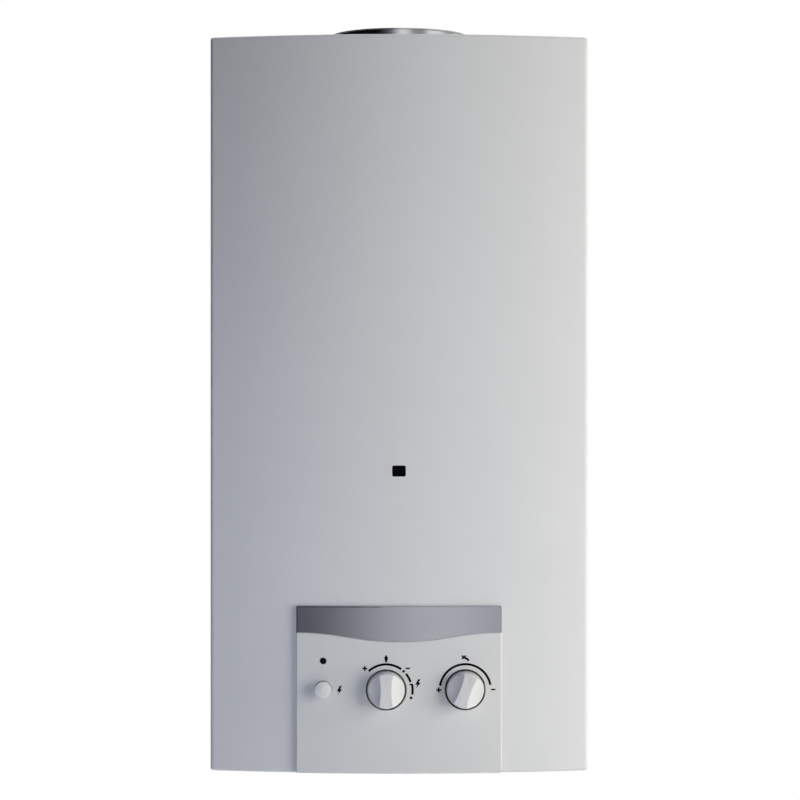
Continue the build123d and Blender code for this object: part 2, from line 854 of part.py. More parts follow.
def flue_collar():
    """The round collar for the flue pipe, with a base flange and a rolled rim."""
    bore = flue_bore / 2
    outer = bore + collar_wall
    top = top_z + collar_rise
    centre = (0, jacket_mid_y)
    form = bar(2 * outer, (*centre, hood_top), (*centre, top))
    form += bar(2 * (outer + collar_flange), (*centre, hood_top), (*centre, hood_top + collar_flange_sheet))
    form += Pos(*centre, top) * Torus(bore + rim_bead_radius, rim_bead_radius)
    form -= bar(flue_bore, (*centre, hood_top), (*centre, top + rim_bead_radius))
    for x, y in collar_rivet_places():
        form -= bar(rivet_diameter + 2 * nut_gap, (x, y, hood_top), (x, y, hood_top + collar_flange_sheet))
    return form


def collar_rivets():
    """Domed blind rivets through the collar's flange and the hood's top."""
    group = []
    for x, y in collar_rivet_places():
        seat = hood_top + collar_flange_sheet
        head = bar(rivet_head_diameter, (x, y, seat), (x, y, seat + rivet_head))
        head = fillet(head.edges().sort_by(Axis.Z)[-1:], rivet_dome_radius)
        group.append(head + bar(rivet_diameter, (x, y, hood_top - rivet_tail), (x, y, seat)))
    return group


def hood_form(inset, low):
    """The draught diverter's form drawn in by inset, down to a given level."""
    half = jacket_width / 2 + hood_overhang - inset
    front = jacket_front - hood_overhang + inset
    depth = jacket_depth + 2 * (hood_overhang - inset)
    knee = hood_low + hood_skirt
    neck = flue_bore / 2 + collar_wall + collar_flange + hood_top_rim - inset
    corners = [(-half, low), (half, low), (half, knee), (neck, hood_top - inset), (-neck, hood_top - inset)]
    outline = Polygon(*corners, (-half, knee), align=None)
    return extrude(Plane.XZ.offset(-front) * outline, -depth)


def draught_diverter():
    """The hood over the exchanger, with a relief opening in each side."""
    form = hood_form(0, hood_low) - hood_form(hood_sheet, hood_low)
    half = jacket_width / 2 + hood_overhang
    low = hood_low + relief_rise
    front, rear = jacket_mid_y - relief_length / 2, jacket_mid_y + relief_length / 2
    form -= block((-half, front, low), (half, rear, low + relief_tall))
    form -= bar(flue_bore, (0, jacket_mid_y, hood_top - hood_sheet), (0, jacket_mid_y, hood_top))
    for x, y in collar_rivet_places():
        form -= bar(rivet_diameter + 2 * nut_gap, (x, y, hood_top - hood_sheet), (x, y, hood_top))
    return form


def diverter_baffle():
    """A shallow folded baffle across the hood, under the flue opening."""
    half = baffle_width / 2
    crown = hood_low + baffle_rise
    drop = half * sin(radians(baffle_pitch))
    upper = [(half, crown - drop), (0, crown), (-half, crown - drop)]
    lower = [(x, z - hood_sheet) for x, z in reversed(upper)]
    front = jacket_front - hood_overhang + hood_sheet
    depth = jacket_depth + 2 * (hood_overhang - hood_sheet)
    return extrude(Plane.XZ.offset(-front) * Polygon(*lower, *upper, align=None), -depth)


def tube_rows():
    """Depths of the exchanger's tube passes, front to rear."""
    return [tube_front + k * tube_pitch for k in range(tube_count)]


def jacket_section(inset):
    """The combustion jacket's plan drawn in by inset."""
    wide, deep = jacket_width - 2 * inset, jacket_depth - 2 * inset
    return Pos(0, jacket_mid_y) * RectangleRounded(wide, deep, jacket_corner_radius - inset)


def combustion_jacket():
    """The sheet jacket round the flame, with a top flange and holes for the tubes."""
    walls = jacket_section(0) - jacket_section(jacket_wall)
    form = extrude(Plane.XY.offset(jacket_low) * walls, jacket_height)
    rim = jacket_section(-jacket_flange) - jacket_section(jacket_wall)
    form += extrude(Plane.XY.offset(jacket_high - jacket_wall) * rim, jacket_wall)
    for y in tube_rows():
        form -= bar(tube_diameter + 2 * tube_gap, (-jacket_width, y, tube_z), (jacket_width, y, tube_z))
    return form


def exchanger_fins():
    """The stack of plate fins across the jacket, each with a hole for every tube."""
    half = jacket_depth / 2 - jacket_wall - fin_side_gap
    front, rear = jacket_mid_y - half, jacket_mid_y + half
    group = []
    for k in range(fin_count):
        x = (k - (fin_count - 1) / 2) * fin_pitch - fin_thickness / 2
        fin = block((x, front, fin_high - fin_tall), (x + fin_thickness, rear, fin_high))
        for y in tube_rows():
            fin -= bar(tube_diameter + 2 * tube_gap, (x, y, tube_z), (x + fin_thickness, y, tube_z))
        group.append(fin)
    return group


def exchanger_tubes():
    """One tube in straight passes joined by return bends outside the jacket."""
    end = jacket_width / 2 + tube_overrun
    rows = tube_rows()
    runs = []
    for k, y in enumerate(rows):
        start = end if k % 2 == 0 else -end
        runs.append(Line((start, y, tube_z), (-start, y, tube_z)))
        if k + 1 < tube_count:
            after = rows[k + 1]
            crown = (-start * (1 + tube_pitch / 2 / end), (y + after) / 2, tube_z)
            runs.append(ThreePointArc((-start, y, tube_z), crown, (-start, after, tube_z)))
    path = Wire([edge for run in runs for edge in run.edges()])
    ring = Circle(tube_diameter / 2) - Circle(tube_diameter / 2 - tube_wall)
    return sweep(Plane(path @ 0, z_dir=path % 0) * ring, path=path)


coil_exit_x = jacket_width / 2 + tube_overrun + coil_bend
union_z = jacket_low - union_drop


def jacket_coil():
    """The tube that winds up round the jacket and ends at the exchanger's first pass."""
    points = [(coil_x, coil_rear, union_z)]
    for turn in range(coil_turns):
        z = coil_z + turn * coil_pitch
        points += [(coil_x, coil_rear, z), (-coil_x, coil_rear, z), (-coil_x, coil_front, z)]
        last = turn == coil_turns - 1
        points.append((coil_exit_x if last else coil_x, coil_front, z + coil_pitch))
    points += [(coil_exit_x, tube_front, z + coil_pitch), (coil_exit_x, tube_front, tube_z)]
    points.append((jacket_width / 2 + tube_overrun, tube_front, tube_z))
    return pipe(points, tube_diameter, tube_wall, exit_bend)


def riser_union():
    """The hexagon union where the cold riser meets the coil."""
    low = (coil_x, coil_rear, union_z - union_length / 2)
    high = (coil_x, coil_rear, union_z + union_length / 2)
    return hexagon(union_across, low, high) - bar(tube_diameter + 2 * union_gap, low, high)


def exchanger_brackets():
    """Four Z brackets from the jacket's rear wall to the back plate."""
    group = []
    for z in (coil_top + bracket_lift, jacket_low + bracket_rise):
        for side in (-1, 1):
            left = side * bracket_spacing / 2 - bracket_width / 2
            right = left + bracket_width
            web = block((left, jacket_rear, z), (right, plate_face, z + bracket_sheet))
            web += block((left, jacket_rear, z), (right, jacket_rear + bracket_sheet, z + bracket_tall))
            foot = z - bracket_tall / 2
            web += block((left, plate_face - bracket_sheet, foot), (right, plate_face, z + bracket_sheet))
            group.append(web)
    return group


def bar_places():
    """Centre lines of the burner bars across the burner."""
    return [(k - (bar_count - 1) / 2) * bar_pitch for k in range(bar_count)]


def bar_head(x, inset, low):
    """A burner bar's head drawn in by inset, from a given level up."""
    half = bar_width / 2 - inset
    form = block((x - half, bar_front + inset, low), (x + half, bar_rear - inset, burner_top - inset))
    return fillet(form.edges().filter_by(Axis.Z), bar_corner_radius - inset)


def burner_bars():
    """Hollow upright burner bars, each with a venturi below and a row of flame ports along its top."""
    half = bar_width / 2
    group = []
    for x in bar_places():
        form = bar_head(x, 0, burner_top - bar_tall)
        form += bar(venturi_diameter, (x, bar_front, venturi_z), (x, bar_rear, venturi_z))
        form -= bar_head(x, bar_wall, venturi_z)
        form -= bar(venturi_bore, (x, bar_front, venturi_z), (x, bar_rear - venturi_end, venturi_z))
        step = bar_depth / (port_count + 1)
        for k in range(port_count):
            y = bar_front + (k + 1) * step - port_width / 2
            form -= block((x - half, y, burner_top - port_depth), (x + half, y + port_width, burner_top))
        group.append(form)
    return group


def burner_frame():
    """The frame round the bars: arms back to the tray and ears that carry the injector rail."""
    inner = frame_half
    outer = frame_half + frame_sheet
    rear = bar_rear + frame_gap
    ring = block((-outer, frame_front, frame_low), (outer, rear + frame_sheet, frame_high))
    ring -= block((-inner, frame_front + frame_sheet, frame_low), (inner, rear, frame_high))
    reach = rail_diameter / 2 + ear_rim
    for side in (-1, 1):
        near, far = sorted((side * inner, side * outer))
        ring += block((near, rear, frame_low), (far, plate_face, frame_high))
        foot = sorted((side * inner, side * (inner + frame_foot)))
        ring += block((foot[0], plate_face - frame_sheet, frame_low), (foot[1], plate_face, frame_high))
        ear = block((near, rail_y - reach, venturi_z - reach), (far, frame_front, frame_high))
        ear -= bar(rail_diameter + 2 * frame_gap, (near, rail_y, venturi_z), (far, rail_y, venturi_z))
        ring += ear + block((near, frame_front, frame_low), (far, frame_front + frame_sheet, frame_high))
    return ring


def injector_rail():
    """The closed tube that feeds the injectors, with a spigot for the gas riser."""
    form = bar(rail_diameter, (-rail_half, rail_y, venturi_z), (rail_half, rail_y, venturi_z))
    foot = venturi_z - rail_diameter / 2 - rail_spigot
    form += bar(gas_pipe_diameter, (gas_knob_x, rail_y, foot), (gas_knob_x, rail_y, venturi_z))
    bore = rail_half - rail_end
    form -= bar(rail_diameter - 2 * rail_wall, (-bore, rail_y, venturi_z), (bore, rail_y, venturi_z))
    axis = (gas_knob_x, rail_y, venturi_z)
    form -= bar(gas_pipe_diameter - 2 * rail_wall, (gas_knob_x, rail_y, foot), axis)
    hole = nozzle_diameter + 2 * nozzle_gap
    for x in bar_places():
        form -= bar(hole, (x, rail_y, venturi_z), (x, rail_y + rail_diameter / 2, venturi_z))
    return form


def injectors():
    """One brass injector for each burner bar, seated in the rail."""
    group = []
    start = rail_y + rail_diameter / 2 - nozzle_seat
    for x in bar_places():
        form = bar(nozzle_diameter, (x, start, venturi_z), (x, start + nozzle_length, venturi_z))
        group.append(form - bar(nozzle_bore, (x, start, venturi_z), (x, start + nozzle_length, venturi_z)))
    return group


pilot_plate_top = frame_low + pilot_plate_sheet
rod_low = frame_low - rod_tail
rods = {"pilot": (0, pilot_diameter), "electrode": (pilot_spread, electrode_diameter)}
rods["thermocouple"] = (-pilot_spread, thermocouple_diameter)


def pilot_plate():
    """The bracket on the burner frame that carries pilot, electrode and thermocouple."""
    half = pilot_plate_width / 2
    back = frame_front - pilot_plate_sheet
    form = block((-half, back, frame_low), (half, frame_front, frame_high))
    form += block((-half, back - pilot_plate_depth, frame_low), (half, frame_front, pilot_plate_top))
    for x, diameter in rods.values():
        form -= bar(diameter + 2 * rod_gap, (x, pilot_y, frame_low), (x, pilot_y, pilot_plate_top))
    return form


def collared_rod(name, top):
    """A rod through the pilot plate with a collar that stands on it."""
    x, diameter = rods[name]
    seat = pilot_plate_top
    collar = bar(diameter + 2 * rod_collar, (x, pilot_y, seat), (x, pilot_y, seat + rod_collar_thickness))
    return bar(diameter, (x, pilot_y, rod_low), (x, pilot_y, top)) + collar


def pilot_burner():
    """The pilot burner, cross-drilled near its top."""
    top = burner_top + pilot_top
    form = collared_rod("pilot", top)
    port = top - pilot_port_drop
    form -= bar(pilot_port, (0, pilot_y - pilot_diameter, port), (0, pilot_y + pilot_diameter, port))
    return form - bar(pilot_bore, (0, pilot_y, rod_low), (0, pilot_y, port))


def pilot_tube():
    """The thin gas tube from the valve up to the pilot burner."""
    points = [(0, pilot_y, gas_high), (0, pilot_y, rod_low)]
    return pipe(points, pilot_tube_diameter, pilot_tube_wall, pipe_bend)


def ignition_electrode():
    """The ceramic rod with a wire tip bent toward the pilot."""
    x = pilot_spread
    form = collared_rod("electrode", burner_top)
    points = [(x, pilot_y, burner_top), (x, pilot_y, burner_top + electrode_tip)]
    points.append((x - electrode_tip, pilot_y, burner_top + electrode_tip))
    return form + lead(points, electrode_tip_diameter, electrode_tip_bend)


def thermocouple():
    """The thermocouple's rod beside the pilot."""
    form = collared_rod("thermocouple", burner_top + pilot_top)
    return fillet(form.edges().sort_by(Axis.Z)[-1:], thermocouple_dome_radius)


lead_side_x = (gas_left - gas_cover_thickness + igniter_x + igniter_diameter / 2) / 2
magnet_low = gas_low - magnet_length - magnet_tail


def thermocouple_lead():
    """The copper capillary from the thermocouple round to the safety magnet."""
    x = -pilot_spread
    turn_z = gas_high + boss_length + thin_lead_bend
    under_z = magnet_low - 2 * thin_lead_bend
    points = [(x, pilot_y, rod_low), (x, pilot_y, turn_z), (lead_side_x, pilot_y, turn_z)]
    points += [(lead_side_x, pilot_y, under_z), (gas_knob_x, valve_y, under_z)]
    points.append((gas_knob_x, valve_y, magnet_low))
    return lead(points, thin_lead_diameter, thin_lead_bend)


def ignition_lead():
    """The insulated lead from the igniter's rear to the electrode."""
    back = valve_front + igniter_length
    rear = valve_rear
    points = [(igniter_x, back, control_z), (igniter_x, rear, control_z), (igniter_x, rear, lead_z)]
    points += [(pilot_spread, rear, lead_z), (pilot_spread, pilot_y, lead_z)]
    points.append((pilot_spread, pilot_y, rod_low))
    return lead(points, lead_diameter, lead_bend)


def gas_cover_seats():
    """Where the gas valve's side cover is screwed on."""
    offset = gas_cover_size / 2 - gas_cover_screw_inset
    x = gas_left - gas_cover_thickness
    return [(x, valve_y + a * offset, control_z + b * offset) for a in (-1, 1) for b in (-1, 1)]


chamber_right = gas_right - chamber_wall


def gas_valve_body():
    """The gas valve: a block with front, top and rear bosses and a bored chamber."""
    form = block((gas_left, valve_front, gas_low), (gas_right, valve_rear, gas_high))
    form = fillet(form.edges().filter_by(Axis.X), valve_edge_radius)
    axis = (gas_knob_x, valve_y, control_z)
    front = valve_front - boss_length
    top = gas_high + boss_length
    rear = valve_rear + boss_length
    form += bar(boss_diameter, (gas_knob_x, front, control_z), axis)
    form += bar(boss_diameter, (gas_knob_x, rear, control_z), axis)
    form += bar(boss_diameter, (gas_knob_x, rail_y, control_z), (gas_knob_x, rail_y, top))
    form -= bar_x(chamber_diameter, gas_left, chamber_right)
    form -= bar(port_bore, (gas_knob_x, rear, control_z), axis)
    form -= bar(port_bore, (gas_knob_x, rail_y, control_z + port_bore / 2), (gas_knob_x, rail_y, top))
    form -= bar_y(spindle_diameter + 2 * spindle_gap, gas_knob_x, front, front + spindle_reach + spindle_gap)
    form -= bar_x(push_rod_diameter + 2 * push_rod_gap, chamber_right, gas_right)
    form = drilled(form, gas_cover_seats(), (1, 0, 0))
    return drilled(form, igniter_screw_seats(), (0, 1, 0))


def gas_valve_cover():
    """The square cover over the gas valve's chamber."""
    half = gas_cover_size / 2
    form = block((gas_left - gas_cover_thickness, valve_y - half, control_z - half),
                 (gas_left, valve_y + half, control_z + half))
    form = fillet(form.edges().filter_by(Axis.X), gas_cover_corner_radius)
    return drilled(form, gas_cover_seats(), (1, 0, 0))


plunger_right = chamber_right - plunger_gap
plunger_left = plunger_right - plunger_thickness


def gas_plunger():
    """The disc that shuts the gas way, at the end of the push rod."""
    form = bar_x(plunger_diameter, plunger_left, plunger_right)
    return fillet(form.edges().filter_by(GeomType.CIRCLE), plunger_edge_radius)


def plunger_spring():
    """The spring that closes the gas plunger."""
    return coil_spring((gas_left, valve_y, control_z), (plunger_left, valve_y, control_z),
                       spring_diameter, spring_wire, spring_turns)


def safety_magnet():
    """The thermocouple's magnet unit under the gas valve."""
    low = gas_low - magnet_length
    form = bar(magnet_diameter, (gas_knob_x, valve_y, low), (gas_knob_x, valve_y, gas_low))
    form = fillet(form.edges().sort_by(Axis.Z)[:1], magnet_edge_radius)
    return form + bar(magnet_tail_diameter, (gas_knob_x, valve_y, magnet_low), (gas_knob_x, valve_y, low))


def flange_screw_seats():
    """Where the six screws clamp the water valve's cover, diaphragm and body."""
    x = diaphragm_x - cover_flange
    circle = flange_screw_circle / 2
    steps = [2 * pi * (k + 0.5) / flange_screw_count for k in range(flange_screw_count)]
    return [(x, valve_y + circle * cos(a), control_z + circle * sin(a)) for a in steps]


def water_valve_cover():
    """The half of the diaphragm housing that bolts to the gas valve."""
    seat = diaphragm_x - cover_flange
    form = bar_x(cover_hub_diameter, gas_right, seat)
    form += bar_x(diaphragm_housing_diameter, seat, diaphragm_x)
    form -= bar_x(diaphragm_room_diameter, diaphragm_x - diaphragm_room, diaphragm_x)
    form -= bar_x(push_rod_diameter + 2 * push_rod_gap, gas_right, diaphragm_x)
    return drilled(form, flange_screw_seats(), (1, 0, 0))


def diaphragm():
    """The rubber diaphragm between the two halves of the water valve."""
    form = bar_x(diaphragm_housing_diameter - 2 * diaphragm_edge, diaphragm_x, water_left)
    form -= bar_x(push_rod_diameter + 2 * push_rod_gap, diaphragm_x, water_left)
    return drilled(form, flange_screw_seats(), (1, 0, 0))


def push_rod():
    """The rod from the diaphragm to the gas plunger, with a plate and a head that grip the diaphragm."""
    head = water_left + push_rod_head
    form = bar_x(push_rod_diameter, plunger_right, head)
    form += bar_x(push_rod_head_diameter, water_left, head)
    plate = diaphragm_x - diaphragm_plate_thickness
    return form + bar_x(diaphragm_plate_diameter, plate, diaphragm_x)


def water_valve_body():
    """The water side: diaphragm room, front boss for the spindle, inlet, outlet and drain."""
    form = block((block_left, valve_front, water_low), (block_right, valve_rear, water_high))
    form = fillet(form.edges().filter_by(Axis.X), valve_edge_radius)
    form += bar_x(diaphragm_housing_diameter, water_left, block_left)
    front = valve_front - boss_length
    rear = valve_rear + boss_length
    top = water_high + boss_length
    form += bar_y(boss_diameter, water_knob_x, front, valve_y)
    form += bar_y(boss_diameter, cold_x, rear, valve_y)
    form += bar(boss_diameter, (cold_x, valve_y, control_z), (cold_x, valve_y, top))
    form -= bar_x(diaphragm_room_diameter, water_left, water_left + diaphragm_room)
    form -= bar_y(port_bore, cold_x, rear, valve_y)
    form -= bar(port_bore, (cold_x, valve_y, control_z), (cold_x, valve_y, top))
    depth = front + spindle_reach + spindle_gap
    form -= bar_y(spindle_diameter + 2 * spindle_gap, water_knob_x, front, depth)
    form -= bar(drain_diameter + 2 * screw_gap, (cold_x, valve_y, water_low), (cold_x, valve_y, control_z))
    return drilled(form, flange_screw_seats(), (1, 0, 0))


def valve_screws():
    """Twelve like screws: igniter plate, gas valve cover and diaphragm housing."""
    group = [pan_screw(seat, (0, 1, 0)) for seat in igniter_screw_seats()]
    return group + [pan_screw(seat, (1, 0, 0)) for seat in gas_cover_seats() + flange_screw_seats()]


def drain_plug():
    """The hexagon plug under the water valve."""
    head = (cold_x, valve_y, water_low - drain_head)
    seat = (cold_x, valve_y, water_low)
    end = (cold_x, valve_y, water_low + drain_length)
    return hexagon(drain_across, head, seat) + bar(drain_diameter, seat, end)


def valve_bracket():
    """The plate behind both valves and its arm to the tray."""
    low, high = control_z - valve_bracket_tall / 2, control_z + valve_bracket_tall / 2
    back = valve_rear + valve_bracket_sheet
    left = gas_left + valve_edge_radius
    form = block((left, valve_rear, low), (block_right, back, high))
    for x in (gas_knob_x, cold_x):
        form -= bar_y(boss_diameter + 2 * shoulder_gap, x, valve_rear, back)
    arm = valve_bracket_x + valve_bracket_sheet
    form += block((valve_bracket_x, valve_rear, low), (arm, plate_face, high))
    foot = valve_bracket_x + valve_bracket_foot
    return form + block((valve_bracket_x, plate_face - valve_bracket_sheet, low), (foot, plate_face, high))


def gas_riser():
    """The pipe from the gas valve's outlet up to the injector rail."""
    foot = venturi_z - rail_diameter / 2 - rail_spigot
    points = [(gas_knob_x, rail_y, gas_high + boss_length), (gas_knob_x, rail_y, foot)]
    return pipe(points, gas_pipe_diameter, rail_wall, pipe_bend)


def inlet_pipe(x, diameter, wall):
    """A pipe from a connector up and forward into the back of a valve."""
    points = [(x, stub_y, connector_high), (x, stub_y, control_z), (x, valve_rear + boss_length, control_z)]
    return pipe(points, diameter, wall, pipe_bend)


def cold_riser():
    """The pipe from the water valve up and slantwise back to the coil's lower end."""
    z = base_z + riser_height
    points = [(cold_x, valve_y, water_high + boss_length), (cold_x, valve_y, z)]
    points += [(coil_x, coil_rear, z), (coil_x, coil_rear, union_z)]
    return pipe(points, tube_diameter, tube_wall, pipe_bend)


def hot_pipe():
    """The pipe from the exchanger's last pass down to the hot connector."""
    start = (-(jacket_width / 2 + tube_overrun), tube_rear, tube_z)
    points = [start, (hot_x, tube_rear, tube_z), (hot_x, stub_y, connector_high)]
    return pipe(points, tube_diameter, tube_wall, coil_bend)


stub_places = {"hot": hot_x, "gas": gas_knob_x, "cold": cold_x}


def connector(x):
    """A threaded connector through the connection plate, its hexagon standing on it."""
    form = bar(thread_diameter, (x, stub_y, stub_low), (x, stub_y, thread_high))
    form = chamfer(form.edges().sort_by(Axis.Z)[:1], pipe_thread_chamfer)
    form += bar(shoulder_diameter, (x, stub_y, thread_high), (x, stub_y, stub_plate_high))
    form += hexagon(connector_across, (x, stub_y, stub_plate_high), (x, stub_y, connector_high))
    return form - bar(thread_bore, (x, stub_y, stub_low), (x, stub_y, connector_high))


def connection_plate():
    """The bent plate near the tray's foot that holds the three connectors."""
    left = hot_x - stub_plate_edge
    right = cold_x + stub_plate_edge
    form = block((left, stub_y - stub_plate_edge, stub_plate_low), (right, plate_face, stub_plate_high))
    leg = stub_plate_low + stub_plate_tall
    form += block((left, plate_face - stub_plate_sheet, stub_plate_low), (right, plate_face, leg))
    hole = shoulder_diameter + 2 * shoulder_gap
    for x in stub_places.values():
        form -= bar(hole, (x, stub_y, stub_plate_low), (x, stub_y, stub_plate_high))
    return form


def disc_sensor(seat_y, z):
    """A disc thermostat on a face toward the front, with a fixing ear on both sides."""
    front = seat_y - sensor_ear_sheet
    half = sensor_ear / 2
    tall = sensor_ear_tall / 2
    form = block((sensor_x - half, front, z - tall), (sensor_x + half, seat_y, z + tall))
    form = fillet(form.edges().filter_by(Axis.Y), sensor_ear_radius)
    form += bar(sensor_diameter, (sensor_x, front - sensor_thickness, z), (sensor_x, front, z))
    return form


flue_sensor_y = jacket_front - hood_overhang
flue_sensor_z = hood_low + flue_sensor_rise
limiter_z = coil_top + limiter_rise
sensor_reach = sensor_ear_sheet + sensor_thickness
wire_y = flue_sensor_y - sensor_reach - wire_run_out


def sensor_link():
    """The wire from the flue sensor down to the overheat limiter."""
    high = (sensor_x, flue_sensor_y - sensor_reach, flue_sensor_z)
    low = (sensor_x, jacket_front - sensor_reach, limiter_z + wire_step)
    points = [high, (sensor_x, wire_y, flue_sensor_z), (sensor_x, wire_y, limiter_z + wire_step), low]
    return lead(points, wire_diameter, thin_lead_bend)


def safety_wire():
    """The wire from the overheat limiter down to the gas valve."""
    z = base_z + wire_height
    end_x = gas_right - wire_inset
    end_y = (pilot_y + valve_y) / 2
    start_z = limiter_z - wire_step
    points = [(sensor_x, jacket_front - sensor_reach, start_z), (sensor_x, wire_y, start_z)]
    points += [(sensor_x, wire_y, z), (end_x, wire_y, z), (end_x, end_y, z), (end_x, end_y, gas_high)]
    return lead(points, wire_diameter, thin_lead_bend)


nodes = {
    "front_casing": front_casing(),
    "back_plate": back_plate(),
    "casing_screws": casing_screws(),
    "sight_glass": sight_glass(),
    "sight_holder": sight_holder(),
    "control_panel": control_panel(),
    "panel_band": panel_band(),
    "panel_nuts": panel_nuts(),
    "indicator_lamp": indicator_lamp(),
    "gas_knob": knob(gas_knob_x, 0),
    "gas_spindle": spindle(gas_knob_x, 0),
    "temperature_knob": knob(water_knob_x, water_knob_turn),
    "temperature_spindle": spindle(water_knob_x, water_knob_turn),
    "igniter_button": igniter_button(),
    "button_spring": button_spring(),
    "igniter_body": igniter_body(),
    "igniter_nut": igniter_nut(),
    "igniter_plate": igniter_plate(),
    "flue_collar": flue_collar(),
    "collar_rivets": collar_rivets(),
    "draught_diverter": draught_diverter(),
    "diverter_baffle": diverter_baffle(),
    "flue_sensor": disc_sensor(flue_sensor_y, flue_sensor_z),
    "overheat_limiter": disc_sensor(jacket_front, limiter_z),
    "safety_wires": [sensor_link(), safety_wire()],
    "combustion_jacket": combustion_jacket(),
    "exchanger_fins": exchanger_fins(),
    "exchanger_tubes": exchanger_tubes(),
    "jacket_coil": jacket_coil(),
    "exchanger_brackets": exchanger_brackets(),
    "burner_bars": burner_bars(),
    "burner_frame": burner_frame(),
    "injector_rail": injector_rail(),
    "injectors": injectors(),
    "pilot_plate": pilot_plate(),
    "pilot_burner": pilot_burner(),
    "pilot_tube": pilot_tube(),
    "ignition_electrode": ignition_electrode(),
    "ignition_lead": ignition_lead(),
    "thermocouple": thermocouple(),
    "thermocouple_lead": thermocouple_lead(),
    "gas_valve_body": gas_valve_body(),
    "gas_valve_cover": gas_valve_cover(),
    "gas_plunger": gas_plunger(),
    "plunger_spring": plunger_spring(),
    "safety_magnet": safety_magnet(),
    "gas_riser": gas_riser(),
    "gas_inlet_pipe": inlet_pipe(gas_knob_x, gas_pipe_diameter, rail_wall),
    "water_valve_body": water_valve_body(),
    "water_valve_cover": water_valve_cover(),
    "valve_screws": valve_screws(),
    "diaphragm": diaphragm(),
    "push_rod": push_rod(),
    "drain_plug": drain_plug(),
    "valve_bracket": valve_bracket(),
    "cold_inlet_pipe": inlet_pipe(cold_x, tube_diameter, tube_wall),
    "cold_riser": [cold_riser(), riser_union()],
    "hot_pipe": hot_pipe(),
    "connectors": [connector(x) for x in stub_places.values()],
    "connection_plate": connection_plate(),
}

os.makedirs("parts", exist_ok=True)
for name, shape in nodes.items():
    solids = [piece.solid() for piece in shape] if isinstance(shape, list) else shape.solids()
    export_step(solids[0] if len(solids) == 1 else Compound(children=solids), f"parts/{name}.step")
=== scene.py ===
import json
from math import cos, pi, radians, sin, sqrt

import bmesh
import bpy
from mathutils import Matrix, Vector


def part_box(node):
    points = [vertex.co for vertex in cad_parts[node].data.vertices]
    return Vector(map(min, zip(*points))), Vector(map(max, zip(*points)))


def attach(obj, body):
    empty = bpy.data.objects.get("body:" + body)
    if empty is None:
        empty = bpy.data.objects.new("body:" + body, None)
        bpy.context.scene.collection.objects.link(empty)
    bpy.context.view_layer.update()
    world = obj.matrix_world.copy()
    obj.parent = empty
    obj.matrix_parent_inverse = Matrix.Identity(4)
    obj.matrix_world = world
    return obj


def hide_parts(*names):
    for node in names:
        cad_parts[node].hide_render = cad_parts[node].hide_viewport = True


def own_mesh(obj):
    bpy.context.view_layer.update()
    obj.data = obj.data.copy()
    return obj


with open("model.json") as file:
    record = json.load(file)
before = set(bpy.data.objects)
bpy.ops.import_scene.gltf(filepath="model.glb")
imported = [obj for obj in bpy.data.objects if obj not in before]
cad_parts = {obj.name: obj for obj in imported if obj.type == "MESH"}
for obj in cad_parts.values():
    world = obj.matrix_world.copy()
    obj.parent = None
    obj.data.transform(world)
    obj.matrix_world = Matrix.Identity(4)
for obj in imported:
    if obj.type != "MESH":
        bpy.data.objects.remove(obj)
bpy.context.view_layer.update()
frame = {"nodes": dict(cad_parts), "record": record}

# Sizes in millimetres, in the object's frame: the wall is Y = 0, the front faces -Y, +Z is up.
mm = 0.001
panel_bow_radius = 680.0
weld_reach = 0.0001  # corners closer than this become one
sharp_fold = 35.0  # degrees

# Printed ink, and the outlines of the signs, each from its own centre.
ink_lift = 0.04
ink_thickness = 0.05
arc_radius = 23.5
arc_line = 2.1
arc_step = 2.0  # degrees
arc_least_steps = 8
sign_line = 1.4
sign_reach = 4.6
minus_reach = 3.9
hook_size = (2.4, 1.3)
upper_dot_radius = 1.25
lower_dot_radius = 1.3
dot_corners = 20
flash_outline = [(0.2, 4.2), (-2.5, -0.9), (-0.5, -0.9), (-1.7, -4.2), (2.6, 1.1), (0.6, 1.1),
                 (2.4, 4.2)]
flame_outline = [(0.0, 3.5), (0.7, 2.2), (1.5, 0.9), (1.7, -0.3), (1.1, -1.3), (0.9, -3.4),
                 (-0.9, -3.4), (-1.1, -1.3), (-1.7, -0.3), (-1.5, 0.9), (-0.7, 2.2)]
tap_spoke = [(-3.8, -1.1), (-2.4, -1.9), (1.2, 1.1), (-0.2, 1.9)]
tap_handle_rise = 1.1
tap_spout_centre = (0.2, -2.4)
tap_spout_radius = 2.55
tap_spout_line = 1.9
tap_spout_steps = 6

# Where the signs stand: a distance from the control's centre and an angle clockwise from the top.
gas_plus = (27.8, -45.0)
gas_minus = (28.1, 45.0)
gas_flame = (29.0, 0.0)
gas_upper_dot = (arc_radius, 43.0)
gas_hook = (23.2, 77.2)
gas_flash = (29.7, 79.0)
gas_lower_dot = (24.0, 107.6)
water_plus = (24.4, -90.0)
water_minus = (25.7, 90.0)
water_tap = (28.8, 0.0)
# The igniter's flash stands by its offset to the right and upwards.
igniter_flash = (15.0, -0.6)
# The arcs: a radius, a first and a last angle.
gas_flame_arc = (arc_radius, -43.0, 36.0)
gas_pilot_arc = (arc_radius, 50.5, 72.0)
gas_spark_arc = (24.3, 76.5, 100.0)
water_arc = (arc_radius, -80.6, 79.4)

# Collar rivets: the half profile runs from the pit in the crown to the shank's end.
rivet_count = 8
rivet_sides = 20
rivet_head_height = 1.4
rivet_head_radius = 3.0
rivet_profile = [(0.0, 0.55), (0.75, 0.6), (0.95, 1.3), (1.5, rivet_head_height), (2.3, 1.15),
                 (2.8, 0.7), (rivet_head_radius, 0.15), (2.95, 0.0), (1.6, 0.0), (1.6, -3.0),
                 (0.0, -3.2)]

